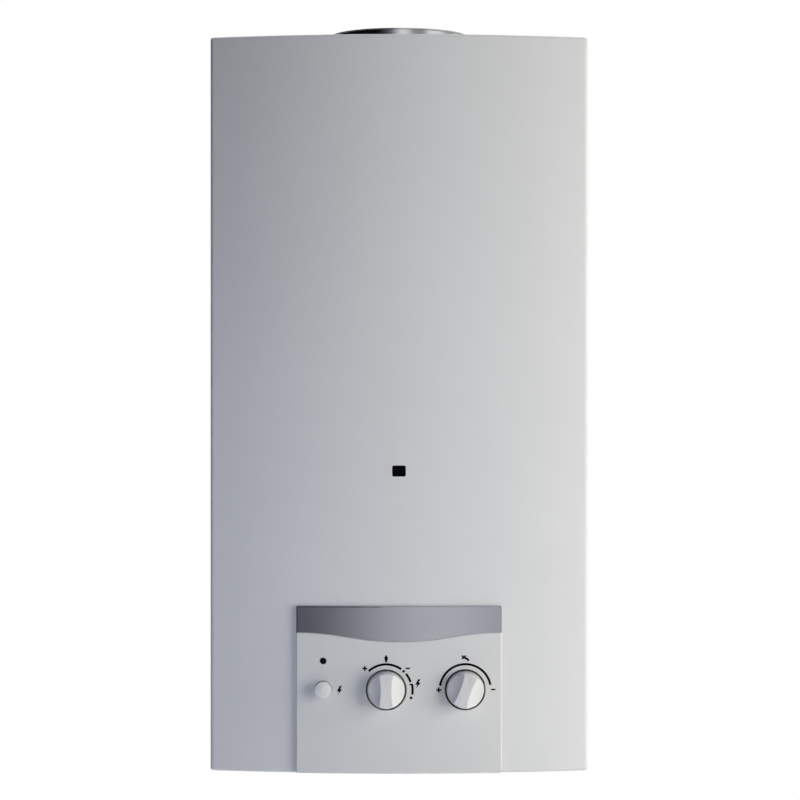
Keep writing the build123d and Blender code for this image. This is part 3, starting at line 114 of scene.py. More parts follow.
# Casing screws: the half profile runs from the tip to the head's crown.
screw_sides = 32
screw_head_height = 2.6
screw_profile = [(0.0, 7.0), (1.7, 7.0), (2.0, 6.4), (2.0, 0.0), (4.0, 0.0), (4.0, -0.9),
                 (3.6, -1.8), (2.6, -2.4), (0.0, -screw_head_height)]
recess_size = (4.4, 1.0, 3.2)
recess_middle = -2.8

# Pipe connectors with a half-inch pipe thread.
connector_sides = 48
thread_radius = 10.48
thread_root = 9.3
thread_pitch = 1.814
thread_length = 26.0
thread_chamfer = 0.7
thread_gap = 0.12
thread_steps = 24
thread_corners = 4
shoulder_radius = 12.0
shoulder_height = 2.0
hexagon_half = 15.0
hexagon_height = 10.0
pipe_bore = 7.0

# Coil springs.
spring_steps = 32
spring_wire_sides = 12

# Camera and lamps, fitted to the photograph's framing and its fall of light from right to left.
# Places and sides are in metres, lens and sensor in millimetres, powers in watts. Bearings, in
# degrees, start at the camera's side and run clockwise to the right.
camera_place = (0.0, -2.950, -0.322)
camera_lens = 132.2
camera_sensor = 36.0
camera_shift = (0.00125, 0.048)
lamp_aim = (0.0, -0.2, -0.3)
white = "#ffffff"
key_power = 45.5
key_bearing = 60.0
key_distance = 2.2
key_side = 1.6
key_tint = "#fffef5"
fill_power = 1.5
fill_place = (-0.4, -0.9, -0.5)
fill_aim = (0.0, -0.2, -0.45)
fill_side = 0.6
fill_tint = "#dce6ff"
top_power = 20.0
top_place = (0.0, 0.1, 1.7)
top_aim = (0.0, 0.0, 0.0)
top_side = 1.0
back_power = 45.0
back_place = (-1.3, 2.0, 0.5)
back_side = 1.2
ambient = 0.04
ambient_tint = "#80a0ff"
floor_z = -1.15
floor_radius = 2.6
floor_corners = 96
# The floor fades for the camera between these shares of the way in from its edge.
floor_keeps = 0.75
floor_gone = 0.15
# What shiny surfaces see round about: a bearing and a tone. The ramp starts at the first one.
room_tones = ((-90, "#08080a"), (-31, "#08080a"), (-13, "#6a6a74"), (4, "#ffffff"),
              (14, "#f2f2f2"), (24, "#a4a4a8"), (40, "#9c9ca0"), (52, "#ffffff"),
              (70, "#ffffff"), (90, "#b8b8b8"), (130, "#ffffff"), (215, "#ffffff"),
              (240, "#101012"))
ramp_front = 0.25  # where the camera's side lies on a ramp that goes once round

# A colour Mix node's sockets share their names with other kinds', so they go by number.
mix_share, mix_first, mix_last, mix_result = 0, 6, 7, 2


def colour(code):
    """An sRGB hex colour as linear values with full alpha."""
    parts = [int(code[i:i + 2], 16) / 255 for i in (1, 3, 5)]
    return [c / 12.92 if c <= 0.04045 else ((c + 0.055) / 1.055) ** 2.4 for c in parts] + [1.0]


def per_mm(size):
    """The scale of a pattern on Object coordinates whose features are this many mm wide."""
    return 1.0 / (size * mm)


def add(tree, kind, feeds=None, **settings):
    """Adds a node with its settings; feeds gives inputs, by name or by number where names repeat,
    a value or another node's output."""
    node = tree.nodes.new(kind)
    for name, value in settings.items():
        setattr(node, name, value)
    for name, value in (feeds or {}).items():
        if isinstance(value, bpy.types.NodeSocket):
            tree.links.new(value, node.inputs[name])
        else:
            node.inputs[name].default_value = value
    return node


def new_finish(name, **sockets):
    """A material with its shader's plain values; gives the material, tree, shader and place."""
    made = bpy.data.materials.new(name)
    made.use_nodes = True
    tree = made.node_tree
    shader = tree.nodes["Principled BSDF"]
    for socket, value in sockets.items():
        shader.inputs[socket.replace("_", " ")].default_value = value
    place = add(tree, "ShaderNodeTexCoord").outputs["Object"]
    return made, tree, shader, place


def lay_coat(tree, shader, pattern, tones, sheen, sheen_pattern=None):
    """Runs the colour between two tones, and the roughness between two values, on a pattern."""
    first, last = (colour(tone) if isinstance(tone, str) else tone for tone in tones)
    tone = add(tree, "ShaderNodeMix", {mix_share: pattern, mix_first: first, mix_last: last},
               data_type="RGBA")
    rough = add(tree, "ShaderNodeMapRange",
                {"Value": pattern if sheen_pattern is None else sheen_pattern,
                 "To Min": sheen[0], "To Max": sheen[1]})
    tree.links.new(tone.outputs[mix_result], shader.inputs["Base Color"])
    tree.links.new(rough.outputs["Result"], shader.inputs["Roughness"])


def enamelled_sheet_steel():
    # Sprayed and stoved white enamel: satin gloss, a faint orange peel, hardly any change of tone.
    made, tree, shader, place = new_finish("Enamelled_sheet_steel", IOR=1.5)
    drift = add(tree, "ShaderNodeTexNoise", {"Vector": place, "Scale": per_mm(140), "Detail": 2.0})
    lay_coat(tree, shader, drift.outputs["Fac"], ("#dbdbdc", "#dfdfe0"), (0.3, 0.4))
    peel = add(tree, "ShaderNodeTexNoise", {"Vector": place, "Scale": per_mm(3.5), "Detail": 1.0})
    relief = add(tree, "ShaderNodeBump",
                 {"Height": peel.outputs["Fac"], "Strength": 0.05, "Distance": 0.2 * mm})
    tree.links.new(relief.outputs["Normal"], shader.inputs["Normal"])
    return made


def moulded_white_panel():
    # Injection-moulded ABS with a spark-eroded grain, drawn coarser than the real one so that it
    # shows: softer than the enamel beside it.
    made, tree, shader, place = new_finish("Moulded_white_ABS_panel", IOR=1.53)
    drift = add(tree, "ShaderNodeTexNoise", {"Vector": place, "Scale": per_mm(90), "Detail": 2.0})
    grain = add(tree, "ShaderNodeTexNoise", {"Vector": place, "Scale": per_mm(0.5), "Detail": 2.0})
    lay_coat(tree, shader, drift.outputs["Fac"], ("#d7d7d7", "#dbdbdb"), (0.36, 0.46),
             grain.outputs["Fac"])
    relief = add(tree, "ShaderNodeBump",
                 {"Height": grain.outputs["Fac"], "Strength": 0.06, "Distance": 0.05 * mm})
    tree.links.new(relief.outputs["Normal"], shader.inputs["Normal"])
    return made


def moulded_white_knob():
    # The same ABS from a polished mould: semi-gloss, a little smoother in patches, as from fingers.
    made, tree, shader, place = new_finish("Moulded_white_ABS_knob", IOR=1.53)
    touch = add(tree, "ShaderNodeTexNoise", {"Vector": place, "Scale": per_mm(9), "Detail": 3.0})
    lay_coat(tree, shader, touch.outputs["Fac"], ("#d8d8d8", "#dfdfdf"), (0.24, 0.36))
    return made


def silver_paint():
    # Silver lacquer sprayed on plastic: a satin coat over aluminium flake, which is drawn coarser
    # than the real one so that it shows.
    made, tree, shader, place = new_finish("Silver_lacquer_on_ABS", Metallic=0.95)
    flake = add(tree, "ShaderNodeTexVoronoi", {"Vector": place, "Scale": per_mm(0.35)})
    haze = add(tree, "ShaderNodeTexNoise", {"Vector": place, "Scale": per_mm(30), "Detail": 2.0})
    lay_coat(tree, shader, flake.outputs["Distance"], ("#b7b8c0", "#abacb4"), (0.2, 0.26),
             haze.outputs["Fac"])
    return made


def black_lens():
    # Tinted acrylic over an unlit lamp: near black, glossy, with light scuffs.
    made, tree, shader, place = new_finish("Black_acrylic_lens", IOR=1.49, Specular_IOR_Level=0.1)
    scuff = add(tree, "ShaderNodeTexNoise", {"Vector": place, "Scale": per_mm(1.5), "Detail": 4.0})
    lay_coat(tree, shader, scuff.outputs["Fac"], ("#030308", "#07070d"), (0.1, 0.22))
    return made


def glass_painted_firebox_shade():
    # Heat-proof glass drawn near black and opaque: painted shade that stands in for the dark
    # firebox behind it.
    made, tree, shader, place = new_finish("Heatproof_glass_painted_shade", IOR=1.47,
                                           Specular_IOR_Level=0.03)
    haze = add(tree, "ShaderNodeTexNoise", {"Vector": place, "Scale": per_mm(4), "Detail": 3.0})
    lay_coat(tree, shader, haze.outputs["Fac"], ("#020203", "#060607"), (0.05, 0.2))
    return made


def galvanised_sheet():
    # Hot-dipped zinc: spangles a few millimetres wide, each with its own tone and gloss.
    made, tree, shader, place = new_finish("Galvanised_sheet_steel", Metallic=1.0)
    spangle = add(tree, "ShaderNodeTexVoronoi", {"Vector": place, "Scale": per_mm(7)})
    stain = add(tree, "ShaderNodeTexNoise", {"Vector": place, "Scale": per_mm(60), "Detail": 4.0})
    grey = add(tree, "ShaderNodeMix", {mix_share: spangle.outputs["Color"],
                                       mix_first: colour("#a3a8ab"), mix_last: colour("#bcc1c4")},
               data_type="RGBA")
    lay_coat(tree, shader, stain.outputs["Fac"], (grey.outputs[mix_result], "#a9adaf"),
             (0.36, 0.52), spangle.outputs["Color"])
    return made


def aluminised_sheet():
    # Rolled aluminised steel: bright, with fine lines round the collar from rolling.
    made, tree, shader, place = new_finish("Rolled_aluminised_steel", Metallic=1.0)
    rolled = add(tree, "ShaderNodeMapping", {"Vector": place, "Scale": (1.0, 1.0, 40.0)})
    lines = add(tree, "ShaderNodeTexNoise",
                {"Vector": rolled.outputs["Vector"], "Scale": per_mm(30), "Detail": 4.0})
    lay_coat(tree, shader, lines.outputs["Fac"], ("#c6c7c9", "#d8d8d9"), (0.12, 0.2))
    return made


def zinc_plate():
    # Bright zinc plating with a thin blue passivation that goes patchy.
    made, tree, shader, place = new_finish("Bright_zinc_plated_steel", Metallic=1.0)
    patch = add(tree, "ShaderNodeTexNoise", {"Vector": place, "Scale": per_mm(3), "Detail": 3.0})
    lay_coat(tree, shader, patch.outputs["Fac"], ("#bfc3ca", "#d3d2c8"), (0.2, 0.36))
    return made


def pressed_stainless():
    # Pressed stainless sheet: bluish, with straw patches as from warmth.
    made, tree, shader, place = new_finish("Pressed_stainless_steel", Metallic=1.0)
    heat = add(tree, "ShaderNodeTexNoise", {"Vector": place, "Scale": per_mm(25), "Detail": 3.0})
    lay_coat(tree, shader, heat.outputs["Fac"], ("#a8a29a", "#b9bcc2"), (0.28, 0.42))
    return made


def drawn_copper():
    # Drawn copper: pink where it is clean, with brown, duller patches of tarnish.
    made, tree, shader, place = new_finish("Drawn_tarnished_copper", Metallic=1.0)
    cloud = add(tree, "ShaderNodeTexNoise", {"Vector": place, "Scale": per_mm(28), "Detail": 5.0})
    tarnish = add(tree, "ShaderNodeMapRange",
                  {"Value": cloud.outputs["Fac"], "From Min": 0.35, "From Max": 0.7})
    lay_coat(tree, shader, tarnish.outputs["Result"], ("#d08a66", "#8e5a44"), (0.26, 0.48))
    return made


def machined_brass():
    # Turned brass with a dulled yellow skin: bright, with darker, rougher patches.
    made, tree, shader, place = new_finish("Machined_brass", Metallic=1.0)
    dull = add(tree, "ShaderNodeTexNoise", {"Vector": place, "Scale": per_mm(12), "Detail": 4.0})
    lay_coat(tree, shader, dull.outputs["Fac"], ("#b99c60", "#8f7546"), (0.22, 0.4))
    return made


def cast_brass_painted_shade():
    # Brass with the sand mould's grain, drawn a dull dark brown and bright nowhere: partly its own
    # skin, partly painted shade, so that the valve seen through the gap round the temperature knob
    # stays dark.
    made, tree, shader, place = new_finish("Sand_cast_brass_painted_shade", Metallic=1.0)
    skin = add(tree, "ShaderNodeTexNoise", {"Vector": place, "Scale": per_mm(1.2), "Detail": 4.0})
    lay_coat(tree, shader, skin.outputs["Fac"], ("#5f5238", "#7a6a4a"), (0.5, 0.65))
    relief = add(tree, "ShaderNodeBump",
                 {"Height": skin.outputs["Fac"], "Strength": 0.3, "Distance": 0.2 * mm})
    tree.links.new(relief.outputs["Normal"], shader.inputs["Normal"])
    return made


def blasted_aluminium():
    # Die-cast aluminium, shot-blasted: matt grey with a sand-like grain.
    made, tree, shader, place = new_finish("Shot_blasted_cast_aluminium", Metallic=1.0)
    grit = add(tree, "ShaderNodeTexNoise", {"Vector": place, "Scale": per_mm(0.7), "Detail": 3.0})
    lay_coat(tree, shader, grit.outputs["Fac"], ("#9fa2a4", "#b4b7b8"), (0.48, 0.62))
    relief = add(tree, "ShaderNodeBump",
                 {"Height": grit.outputs["Fac"], "Strength": 0.3, "Distance": 0.1 * mm})
    tree.links.new(relief.outputs["Normal"], shader.inputs["Normal"])
    return made


def painted_pipe():
    # Grey primer on gas pipe: flat, and a little uneven in tone.
    made, tree, shader, place = new_finish("Grey_painted_steel_pipe", IOR=1.5)
    runs = add(tree, "ShaderNodeTexNoise", {"Vector": place, "Scale": per_mm(15), "Detail": 4.0})
    lay_coat(tree, shader, runs.outputs["Fac"], ("#8f9294", "#a2a5a7"), (0.45, 0.6))
    return made


def pressed_phenolic():
    # Compression-moulded black phenolic: deep black with a dusty bloom.
    made, tree, shader, place = new_finish("Pressed_black_phenolic", IOR=1.6)
    bloom = add(tree, "ShaderNodeTexNoise", {"Vector": place, "Scale": per_mm(6), "Detail": 4.0})
    lay_coat(tree, shader, bloom.outputs["Fac"], ("#1d1d1f", "#2c2c2f"), (0.35, 0.55))
    return made


def fired_ceramic():
    # Unglazed steatite: chalky off-white with pale speckles.
    made, tree, shader, place = new_finish("Unglazed_fired_ceramic", IOR=1.6)
    fleck = add(tree, "ShaderNodeTexNoise", {"Vector": place, "Scale": per_mm(0.8), "Detail": 3.0})
    lay_coat(tree, shader, fleck.outputs["Fac"], ("#d9d3c4", "#efeadd"), (0.55, 0.7))
    return made


def silicone_or_rubber(name, tones):
    # Extruded silicone sleeve or moulded rubber: even colour, soft sheen, a little dust.
    made, tree, shader, place = new_finish(name, IOR=1.41)
    dust = add(tree, "ShaderNodeTexNoise", {"Vector": place, "Scale": per_mm(5), "Detail": 4.0})
    lay_coat(tree, shader, dust.outputs["Fac"], tones, (0.42, 0.58))
    return made


def screen_ink():
    # Screen-printed black ink: flat and dense, with a slight unevenness.
    made, tree, shader, place = new_finish("Screen_printed_black_ink", IOR=1.5,
                                           Specular_IOR_Level=0.1)
    uneven = add(tree, "ShaderNodeTexNoise", {"Vector": place, "Scale": per_mm(0.6), "Detail": 2.0})
    lay_coat(tree, shader, uneven.outputs["Fac"], ("#060608", "#101014"), (0.7, 0.85))
    return made


finishes = {
    "white_enamel": enamelled_sheet_steel(),
    "panel_plastic": moulded_white_panel(),
    "knob_plastic": moulded_white_knob(),
    "silver_band": silver_paint(),
    "lamp_black": black_lens(),
    "sight_pane": glass_painted_firebox_shade(),
    "galvanised_steel": galvanised_sheet(),
    "aluminised_steel": aluminised_sheet(),
    "zinc_hardware": zinc_plate(),
    "stainless_steel": pressed_stainless(),
    "copper": drawn_copper(),
    "brass": machined_brass(),
    "cast_aluminium": blasted_aluminium(),
    "painted_pipe": painted_pipe(),
    "black_plastic": pressed_phenolic(),
    "ceramic": fired_ceramic(),
    "lead_insulation": silicone_or_rubber("Red_extruded_silicone", ("#8e2a24", "#a5392f")),
    "wire_insulation": silicone_or_rubber("Black_extruded_silicone", ("#1b1b1d", "#2a2a2c")),
    "rubber": silicone_or_rubber("Moulded_black_rubber", ("#161617", "#242425")),
}


def mesh_object(name, form):
    """A bmesh made into an object of the scene."""
    mesh = bpy.data.meshes.new(name)
    form.to_mesh(mesh)
    form.free()
    made = bpy.data.objects.new(name, mesh)
    bpy.context.collection.objects.link(made)
    return made


def seat_piece(piece, finish, node):
    """Gives a piece its material and slot; it rides on the chassis in place of a CAD node."""
    piece.data.materials.clear()
    piece.data.materials.append(finishes[finish])
    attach(piece, "chassis")
    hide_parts(node)


def turned(rows, sides):
    """A closed profile turned about Z; a row is a radius and a height, and on a hexagon also half
    its width across flats, which takes the radius's place."""
    form = bmesh.new()
    rings = []
    for radius, height, *flat in rows:
        ring = []
        for k in range(sides):
            angle = 2 * pi * k / sides
            reach = flat[0] / cos((angle % (pi / 3)) - pi / 6) if flat else radius
            corner = Vector((reach * cos(angle), reach * sin(angle), height))
            ring.append(form.verts.new(corner * mm))
        rings.append(ring)
    for lower, upper in zip(rings, rings[1:] + rings[:1]):
        for k in range(sides):
            after = (k + 1) % sides
            form.faces.new((lower[k], lower[after], upper[after], upper[k]))
    bmesh.ops.remove_doubles(form, verts=form.verts, dist=weld_reach * mm)
    bmesh.ops.recalc_face_normals(form, faces=form.faces)
    return form


def middle(node):
    """The middle of a CAD node's box, in millimetres."""
    low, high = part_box(node)
    return (low + high) / 2 / mm


gas_knob = middle("gas_knob")
water_knob = middle("temperature_knob")
igniter = middle("igniter_button")
panel_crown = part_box("panel_band")[0].y / mm


def on_panel(x, z):
    """A point of the panel's bowed face, lifted by the ink's stand-off."""
    fall = panel_bow_radius - sqrt(panel_bow_radius**2 - x**2)
    return Vector((x, panel_crown + fall - ink_lift, z)) * mm


def print_outline(form, control, right, up, outline):
    """Prints a filled outline beside a control, in millimetres as the front sees it."""
    across, high = control.x + right, control.z + up
    form.faces.new([form.verts.new(on_panel(across + x, high + z)) for x, z in outline])


def polar(distance, angle):
    """The offset from a control's centre at an angle clockwise from the top, in degrees."""
    return distance * sin(radians(angle)), distance * cos(radians(angle))


def arc_strips(radius, line, start, end, steps):
    """An arc's short straight lengths, each an outline."""
    near, far = radius - line / 2, radius + line / 2
    angles = [start + (end - start) * k / steps for k in range(steps + 1)]
    return [[polar(near, a), polar(far, a), polar(far, b), polar(near, b)]
            for a, b in zip(angles, angles[1:])]


def disc(radius):
    """A round dot's outline."""
    return [polar(radius, 360 * k / dot_corners) for k in range(dot_corners)]


def rectangle(width, height):
    """An upright rectangle's outline."""
    half, rise = width / 2, height / 2
    return [(-half, -rise), (half, -rise), (half, rise), (-half, rise)]


def printed_marks():
    """The marks round the two knobs and the igniter: arcs, dots, plus, minus and pictograms."""
    form = bmesh.new()
    bar, post = rectangle(sign_reach, sign_line), rectangle(sign_line, sign_reach)
    minus = rectangle(minus_reach, sign_line)
    for control, place, outline in (
            (gas_knob, polar(*gas_plus), bar), (gas_knob, polar(*gas_plus), post),
            (gas_knob, polar(*gas_minus), minus), (gas_knob, polar(*gas_flame), flame_outline),
            (gas_knob, polar(*gas_upper_dot), disc(upper_dot_radius)),
            (gas_knob, polar(*gas_flash), flash_outline),
            (gas_knob, polar(*gas_lower_dot), disc(lower_dot_radius)),
            (gas_knob, polar(*gas_hook), rectangle(*hook_size)),
            (water_knob, polar(*water_plus), bar), (water_knob, polar(*water_plus), post),
            (water_knob, polar(*water_minus), minus), (igniter, igniter_flash, flash_outline)):
        print_outline(form, control, *place, outline)
    for control, (radius, start, end) in ((gas_knob, gas_flame_arc), (gas_knob, gas_pilot_arc),
                                          (gas_knob, gas_spark_arc), (water_knob, water_arc)):
        steps = max(arc_least_steps, int(abs(end - start) / arc_step))
        for strip in arc_strips(radius, arc_line, start, end, steps):
            print_outline(form, control, 0, 0, strip)
    right, up = polar(*water_tap)
    for lean in (-1, 1):
        spoke = [(x, lean * z) for x, z in tap_spoke]
        print_outline(form, water_knob, right, up + tap_handle_rise, spoke)
    for strip in arc_strips(tap_spout_radius, tap_spout_line, 0, 90, tap_spout_steps):
        print_outline(form, water_knob, right + tap_spout_centre[0], up + tap_spout_centre[1],
                      strip)
    piece = mesh_object("printed_marks", form)
    piece.data.materials.append(screen_ink())
    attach(piece, "chassis")
    skin = piece.modifiers.new("ink", "SOLIDIFY")
    skin.thickness = ink_thickness * mm
    skin.offset = -1.0


def grown(name, tree, sizes):
    """A plain mesh object from a node tree, with the tree's inputs given by name."""
    carrier = bpy.data.objects.new(name, bpy.data.meshes.new(name))
    bpy.context.collection.objects.link(carrier)
    grow = carrier.modifiers.new("grow", "NODES")
    grow.node_group = tree
    for item in tree.interface.items_tree:
        if item.item_type == "SOCKET" and item.in_out == "INPUT":
            grow[item.identifier] = sizes[item.name]
    carrier.update_tag()
    shown = carrier.evaluated_get(bpy.context.evaluated_depsgraph_get())
    mesh = bpy.data.meshes.new_from_object(shown)
    carrier.modifiers.remove(grow)
    carrier.data = mesh
    return carrier


def new_tree(name, *inputs):
    """A geometry tree with named inputs; gives the tree and its inputs' sockets."""
    tree = bpy.data.node_groups.new(name, "GeometryNodeTree")
    for label, kind in inputs:
        tree.interface.new_socket(label, in_out="INPUT", socket_type="NodeSocket" + kind)
    tree.interface.new_socket("Geometry", in_out="OUTPUT", socket_type="NodeSocketGeometry")
    return tree, add(tree, "NodeGroupInput").outputs


def close_tree(tree, geometry, finish):
    """Ends a tree: real geometry, smooth faces with sharp folds kept, and the finish."""
    real = add(tree, "GeometryNodeRealizeInstances", {"Geometry": geometry})
    smooth = add(tree, "GeometryNodeSetShadeSmooth",
                 {"Geometry": real.outputs["Geometry"], "Shade Smooth": True})
    angle = add(tree, "GeometryNodeInputMeshEdgeAngle")
    fold = add(tree, "FunctionNodeCompare",
               {0: angle.outputs["Unsigned Angle"], 1: radians(sharp_fold)},
               operation="GREATER_THAN")
    crease = add(tree, "GeometryNodeSetShadeSmooth",
                 {"Geometry": smooth.outputs["Geometry"], "Selection": fold.outputs["Result"],
                  "Shade Smooth": False}, domain="EDGE")
    coat = add(tree, "GeometryNodeSetMaterial",
               {"Geometry": crease.outputs["Geometry"], "Material": finishes[finish]})
    add(tree, "NodeGroupOutput", {"Geometry": coat.outputs["Geometry"]})


def collar_rivets():
    """Blind rivets round the flue collar, each a dome with the mandrel's pit in its crown."""
    pattern = mesh_object("rivet", turned(rivet_profile, rivet_sides))
    tree, sizes = new_tree("rivet_ring", ("Rivet", "Object"), ("Count", "Int"),
                           ("Ring Radius", "Float"), ("Centre", "Vector"))
    ring = add(tree, "GeometryNodeMeshCircle",
               {"Vertices": sizes["Count"], "Radius": sizes["Ring Radius"]})
    placed = add(tree, "GeometryNodeTransform",
                 {"Geometry": ring.outputs["Mesh"], "Translation": sizes["Centre"]})
    rivet = add(tree, "GeometryNodeObjectInfo", {"Object": sizes["Rivet"]})
    copies = add(tree, "GeometryNodeInstanceOnPoints",
                 {"Points": placed.outputs["Geometry"], "Instance": rivet.outputs["Geometry"]})
    close_tree(tree, copies.outputs["Instances"], "zinc_hardware")
    low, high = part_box("collar_rivets")
    piece = grown("blind_rivets", tree,
                  {"Rivet": pattern, "Count": rivet_count,
                   "Ring Radius": (high.x - low.x) / 2 - rivet_head_radius * mm,
                   "Centre": (0.0, (low.y + high.y) / 2, high.z - rivet_head_height * mm)})
    bpy.data.objects.remove(pattern)
    seat_piece(piece, "zinc_hardware", "collar_rivets")


def casing_screws():
    """The two pan-head screws under the casing, with a cross recess in each head."""
    pattern = mesh_object("pan_screw", turned(screw_profile, screw_sides))
    cross = bmesh.new()
    for turn in (0.0, pi / 2):
        made = bmesh.ops.create_cube(cross, size=1.0)["verts"]
        bmesh.ops.scale(cross, vec=Vector(recess_size) * mm, verts=made)
        bmesh.ops.rotate(cross, matrix=Matrix.Rotation(turn, 3, "Z"), verts=made)
    bmesh.ops.translate(cross, vec=(0, 0, recess_middle * mm), verts=cross.verts)
    cutter = mesh_object("cross_recess", cross)
    cut = pattern.modifiers.new("recess", "BOOLEAN")
    cut.object = cutter
    cut.operation = "DIFFERENCE"
    cut.use_self = True
    shown = pattern.evaluated_get(bpy.context.evaluated_depsgraph_get())
    recessed = bpy.data.meshes.new_from_object(shown)
    pattern.modifiers.remove(cut)
    pattern.data = recessed
    tree, sizes = new_tree("screw_pair", ("Screw", "Object"), ("First", "Vector"),
                           ("Last", "Vector"))
    line = add(tree, "GeometryNodeMeshLine",
               {"Count": 2, "Start Location": sizes["First"], "Offset": sizes["Last"]},
               mode="END_POINTS")
    screw = add(tree, "GeometryNodeObjectInfo", {"Object": sizes["Screw"]})
    copies = add(tree, "GeometryNodeInstanceOnPoints",
                 {"Points": line.outputs["Mesh"], "Instance": screw.outputs["Geometry"]})
    close_tree(tree, copies.outputs["Instances"], "zinc_hardware")
    low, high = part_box("casing_screws")
    y, z = (low.y + high.y) / 2, low.z + screw_head_height * mm
    reach = high.x - (high.y - low.y) / 2
    piece = grown("cross_recess_screws", tree,
                  {"Screw": pattern, "First": (-reach, y, z), "Last": (reach, y, z)})
    for spent in (pattern, cutter):
        bpy.data.objects.remove(spent)
    seat_piece(piece, "zinc_hardware", "casing_screws")


def threaded_connectors():
    """The three pipe connectors: a bored core with its hexagon, and a helical thread round each."""
    shoulder_top = thread_length + shoulder_height
    top = shoulder_top + hexagon_height
    rows = [(pipe_bore, 0.0), (thread_root - thread_chamfer, 0.0), (thread_root, thread_chamfer),
            (thread_root, thread_length), (shoulder_radius, thread_length),
            (shoulder_radius, shoulder_top), (0.0, shoulder_top, hexagon_half),
            (0.0, top, hexagon_half), (pipe_bore, top)]
    core = mesh_object("connector_core", turned(rows, connector_sides))
    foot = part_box("connectors")[0].z
    spots = bmesh.new()
    for mount in frame["record"]["mounts"]:
        if mount["kind"] == "pin":
            spots.verts.new((mount["pos_m"][0], mount["pos_m"][1], foot))
    places = mesh_object("connector_places", spots)
    tree, sizes = new_tree("threaded_connectors", ("Core", "Object"), ("Places", "Object"),
                           ("Turns", "Float"), ("Radius", "Float"), ("Ridge", "Float"),
                           ("Height", "Float"), ("Start", "Vector"))
    helix = add(tree, "GeometryNodeCurveSpiral",
                {"Resolution": thread_steps, "Rotations": sizes["Turns"],
                 "Start Radius": sizes["Radius"], "End Radius": sizes["Radius"],
                 "Height": sizes["Height"]})
    upright = add(tree, "GeometryNodeSetCurveNormal", {"Curve": helix.outputs["Curve"]},
                  mode="Z_UP")
    ridge = add(tree, "GeometryNodeCurvePrimitiveCircle",
                {"Resolution": thread_corners, "Radius": sizes["Ridge"]})
    thread = add(tree, "GeometryNodeCurveToMesh",
                 {"Curve": upright.outputs["Curve"], "Profile Curve": ridge.outputs["Curve"],
                  "Fill Caps": True})
    lifted = add(tree, "GeometryNodeTransform",
                 {"Geometry": thread.outputs["Mesh"], "Translation": sizes["Start"]})
    body = add(tree, "GeometryNodeObjectInfo", {"Object": sizes["Core"]})
    joined = add(tree, "GeometryNodeJoinGeometry", {"Geometry": body.outputs["Geometry"]})
    tree.links.new(lifted.outputs["Geometry"], joined.inputs["Geometry"])
    spread = add(tree, "GeometryNodeObjectInfo", {"Object": sizes["Places"]})
    copies = add(tree, "GeometryNodeInstanceOnPoints",
                 {"Points": spread.outputs["Geometry"], "Instance": joined.outputs["Geometry"]})
    close_tree(tree, copies.outputs["Instances"], "brass")
    ridge_half = (thread_pitch - thread_gap) / 2
    run = thread_length - 2 * ridge_half
    piece = grown("threaded_connectors", tree,
                  {"Core": core, "Places": places, "Turns": run / thread_pitch,
                   "Ridge": ridge_half * mm, "Radius": (thread_radius - ridge_half) * mm,
                   "Height": run * mm, "Start": (0.0, 0.0, ridge_half * mm)})
    for spent in (core, places):
        bpy.data.objects.remove(spent)
    seat_piece(piece, "brass", "connectors")


def coil_spring(node, turns, wire, along, anchored_low):
    """A helical spring in place of a CAD node, filling the node's box along its axis and riding on
    the chassis.
    """
    low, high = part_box(node)
    axis = Vector([float(k == along) for k in range(3)])
    length = high[along] - low[along]
    across = (along + 1) % 3
    start, anchor = (low + high) / 2, (low + high) / 2
    start[along] = low[along] + wire / 2 * mm
    anchor[along] = low[along] if anchored_low else high[along]
    tree, sizes = new_tree(node + "_helix", ("Turns", "Float"), ("Radius", "Float"),
                           ("Wire", "Float"), ("Height", "Float"), ("Turn", "Rotation"),
                           ("Start", "Vector"))
    helix = add(tree, "GeometryNodeCurveSpiral",
                {"Resolution": spring_steps, "Rotations": sizes["Turns"],
                 "Start Radius": sizes["Radius"], "End Radius": sizes["Radius"],
                 "Height": sizes["Height"]})
    section = add(tree, "GeometryNodeCurvePrimitiveCircle",
                  {"Resolution": spring_wire_sides, "Radius": sizes["Wire"]})
    coil = add(tree, "GeometryNodeCurveToMesh",
               {"Curve": helix.outputs["Curve"], "Profile Curve": section.outputs["Curve"],
                "Fill Caps": True})
    placed = add(tree, "GeometryNodeTransform",
                 {"Geometry": coil.outputs["Mesh"], "Rotation": sizes["Turn"],
                  "Translation": sizes["Start"]})
    close_tree(tree, placed.outputs["Geometry"], "zinc_hardware")
    piece = grown(node + "_coil", tree,
                  {"Turns": float(turns), "Wire": wire / 2 * mm, "Height": length - wire * mm,
                   "Radius": (high[across] - low[across]) / 2 - wire / 2 * mm,
                   "Turn": axis.to_track_quat("Z", "Y").to_euler(), "Start": start})
    seat_piece(piece, "zinc_hardware", node)
    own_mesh(piece)


def area_light(name, power, place, aim, side, tint):
    """A soft square lamp, turned to its aim; shiny surfaces see the room's tones in its place."""
    lamp = bpy.data.lights.new(name, "AREA")
    lamp.energy = power
    lamp.shape = "SQUARE"
    lamp.size = side
    lamp.color = colour(tint)[:3]
    holder = bpy.data.objects.new(name, lamp)
    holder.location = place
    holder.rotation_euler = (Vector(aim) - Vector(place)).to_track_quat("-Z", "Y").to_euler()
    holder.visible_glossy = False
    holder.visible_camera = False
    bpy.context.collection.objects.link(holder)


def lights():
    """A soft key from the right, a weak fill from the left, and lamps above and behind."""
    bearing = radians(key_bearing)
    key_place = Vector(lamp_aim) + key_distance * Vector((sin(bearing), -cos(bearing), 0.0))
    area_light("key", key_power, key_place, lamp_aim, key_side, key_tint)
    area_light("fill", fill_power, fill_place, fill_aim, fill_side, fill_tint)
    area_light("top", top_power, top_place, top_aim, top_side, white)
    area_light("back", back_power, back_place, lamp_aim, back_side, white)


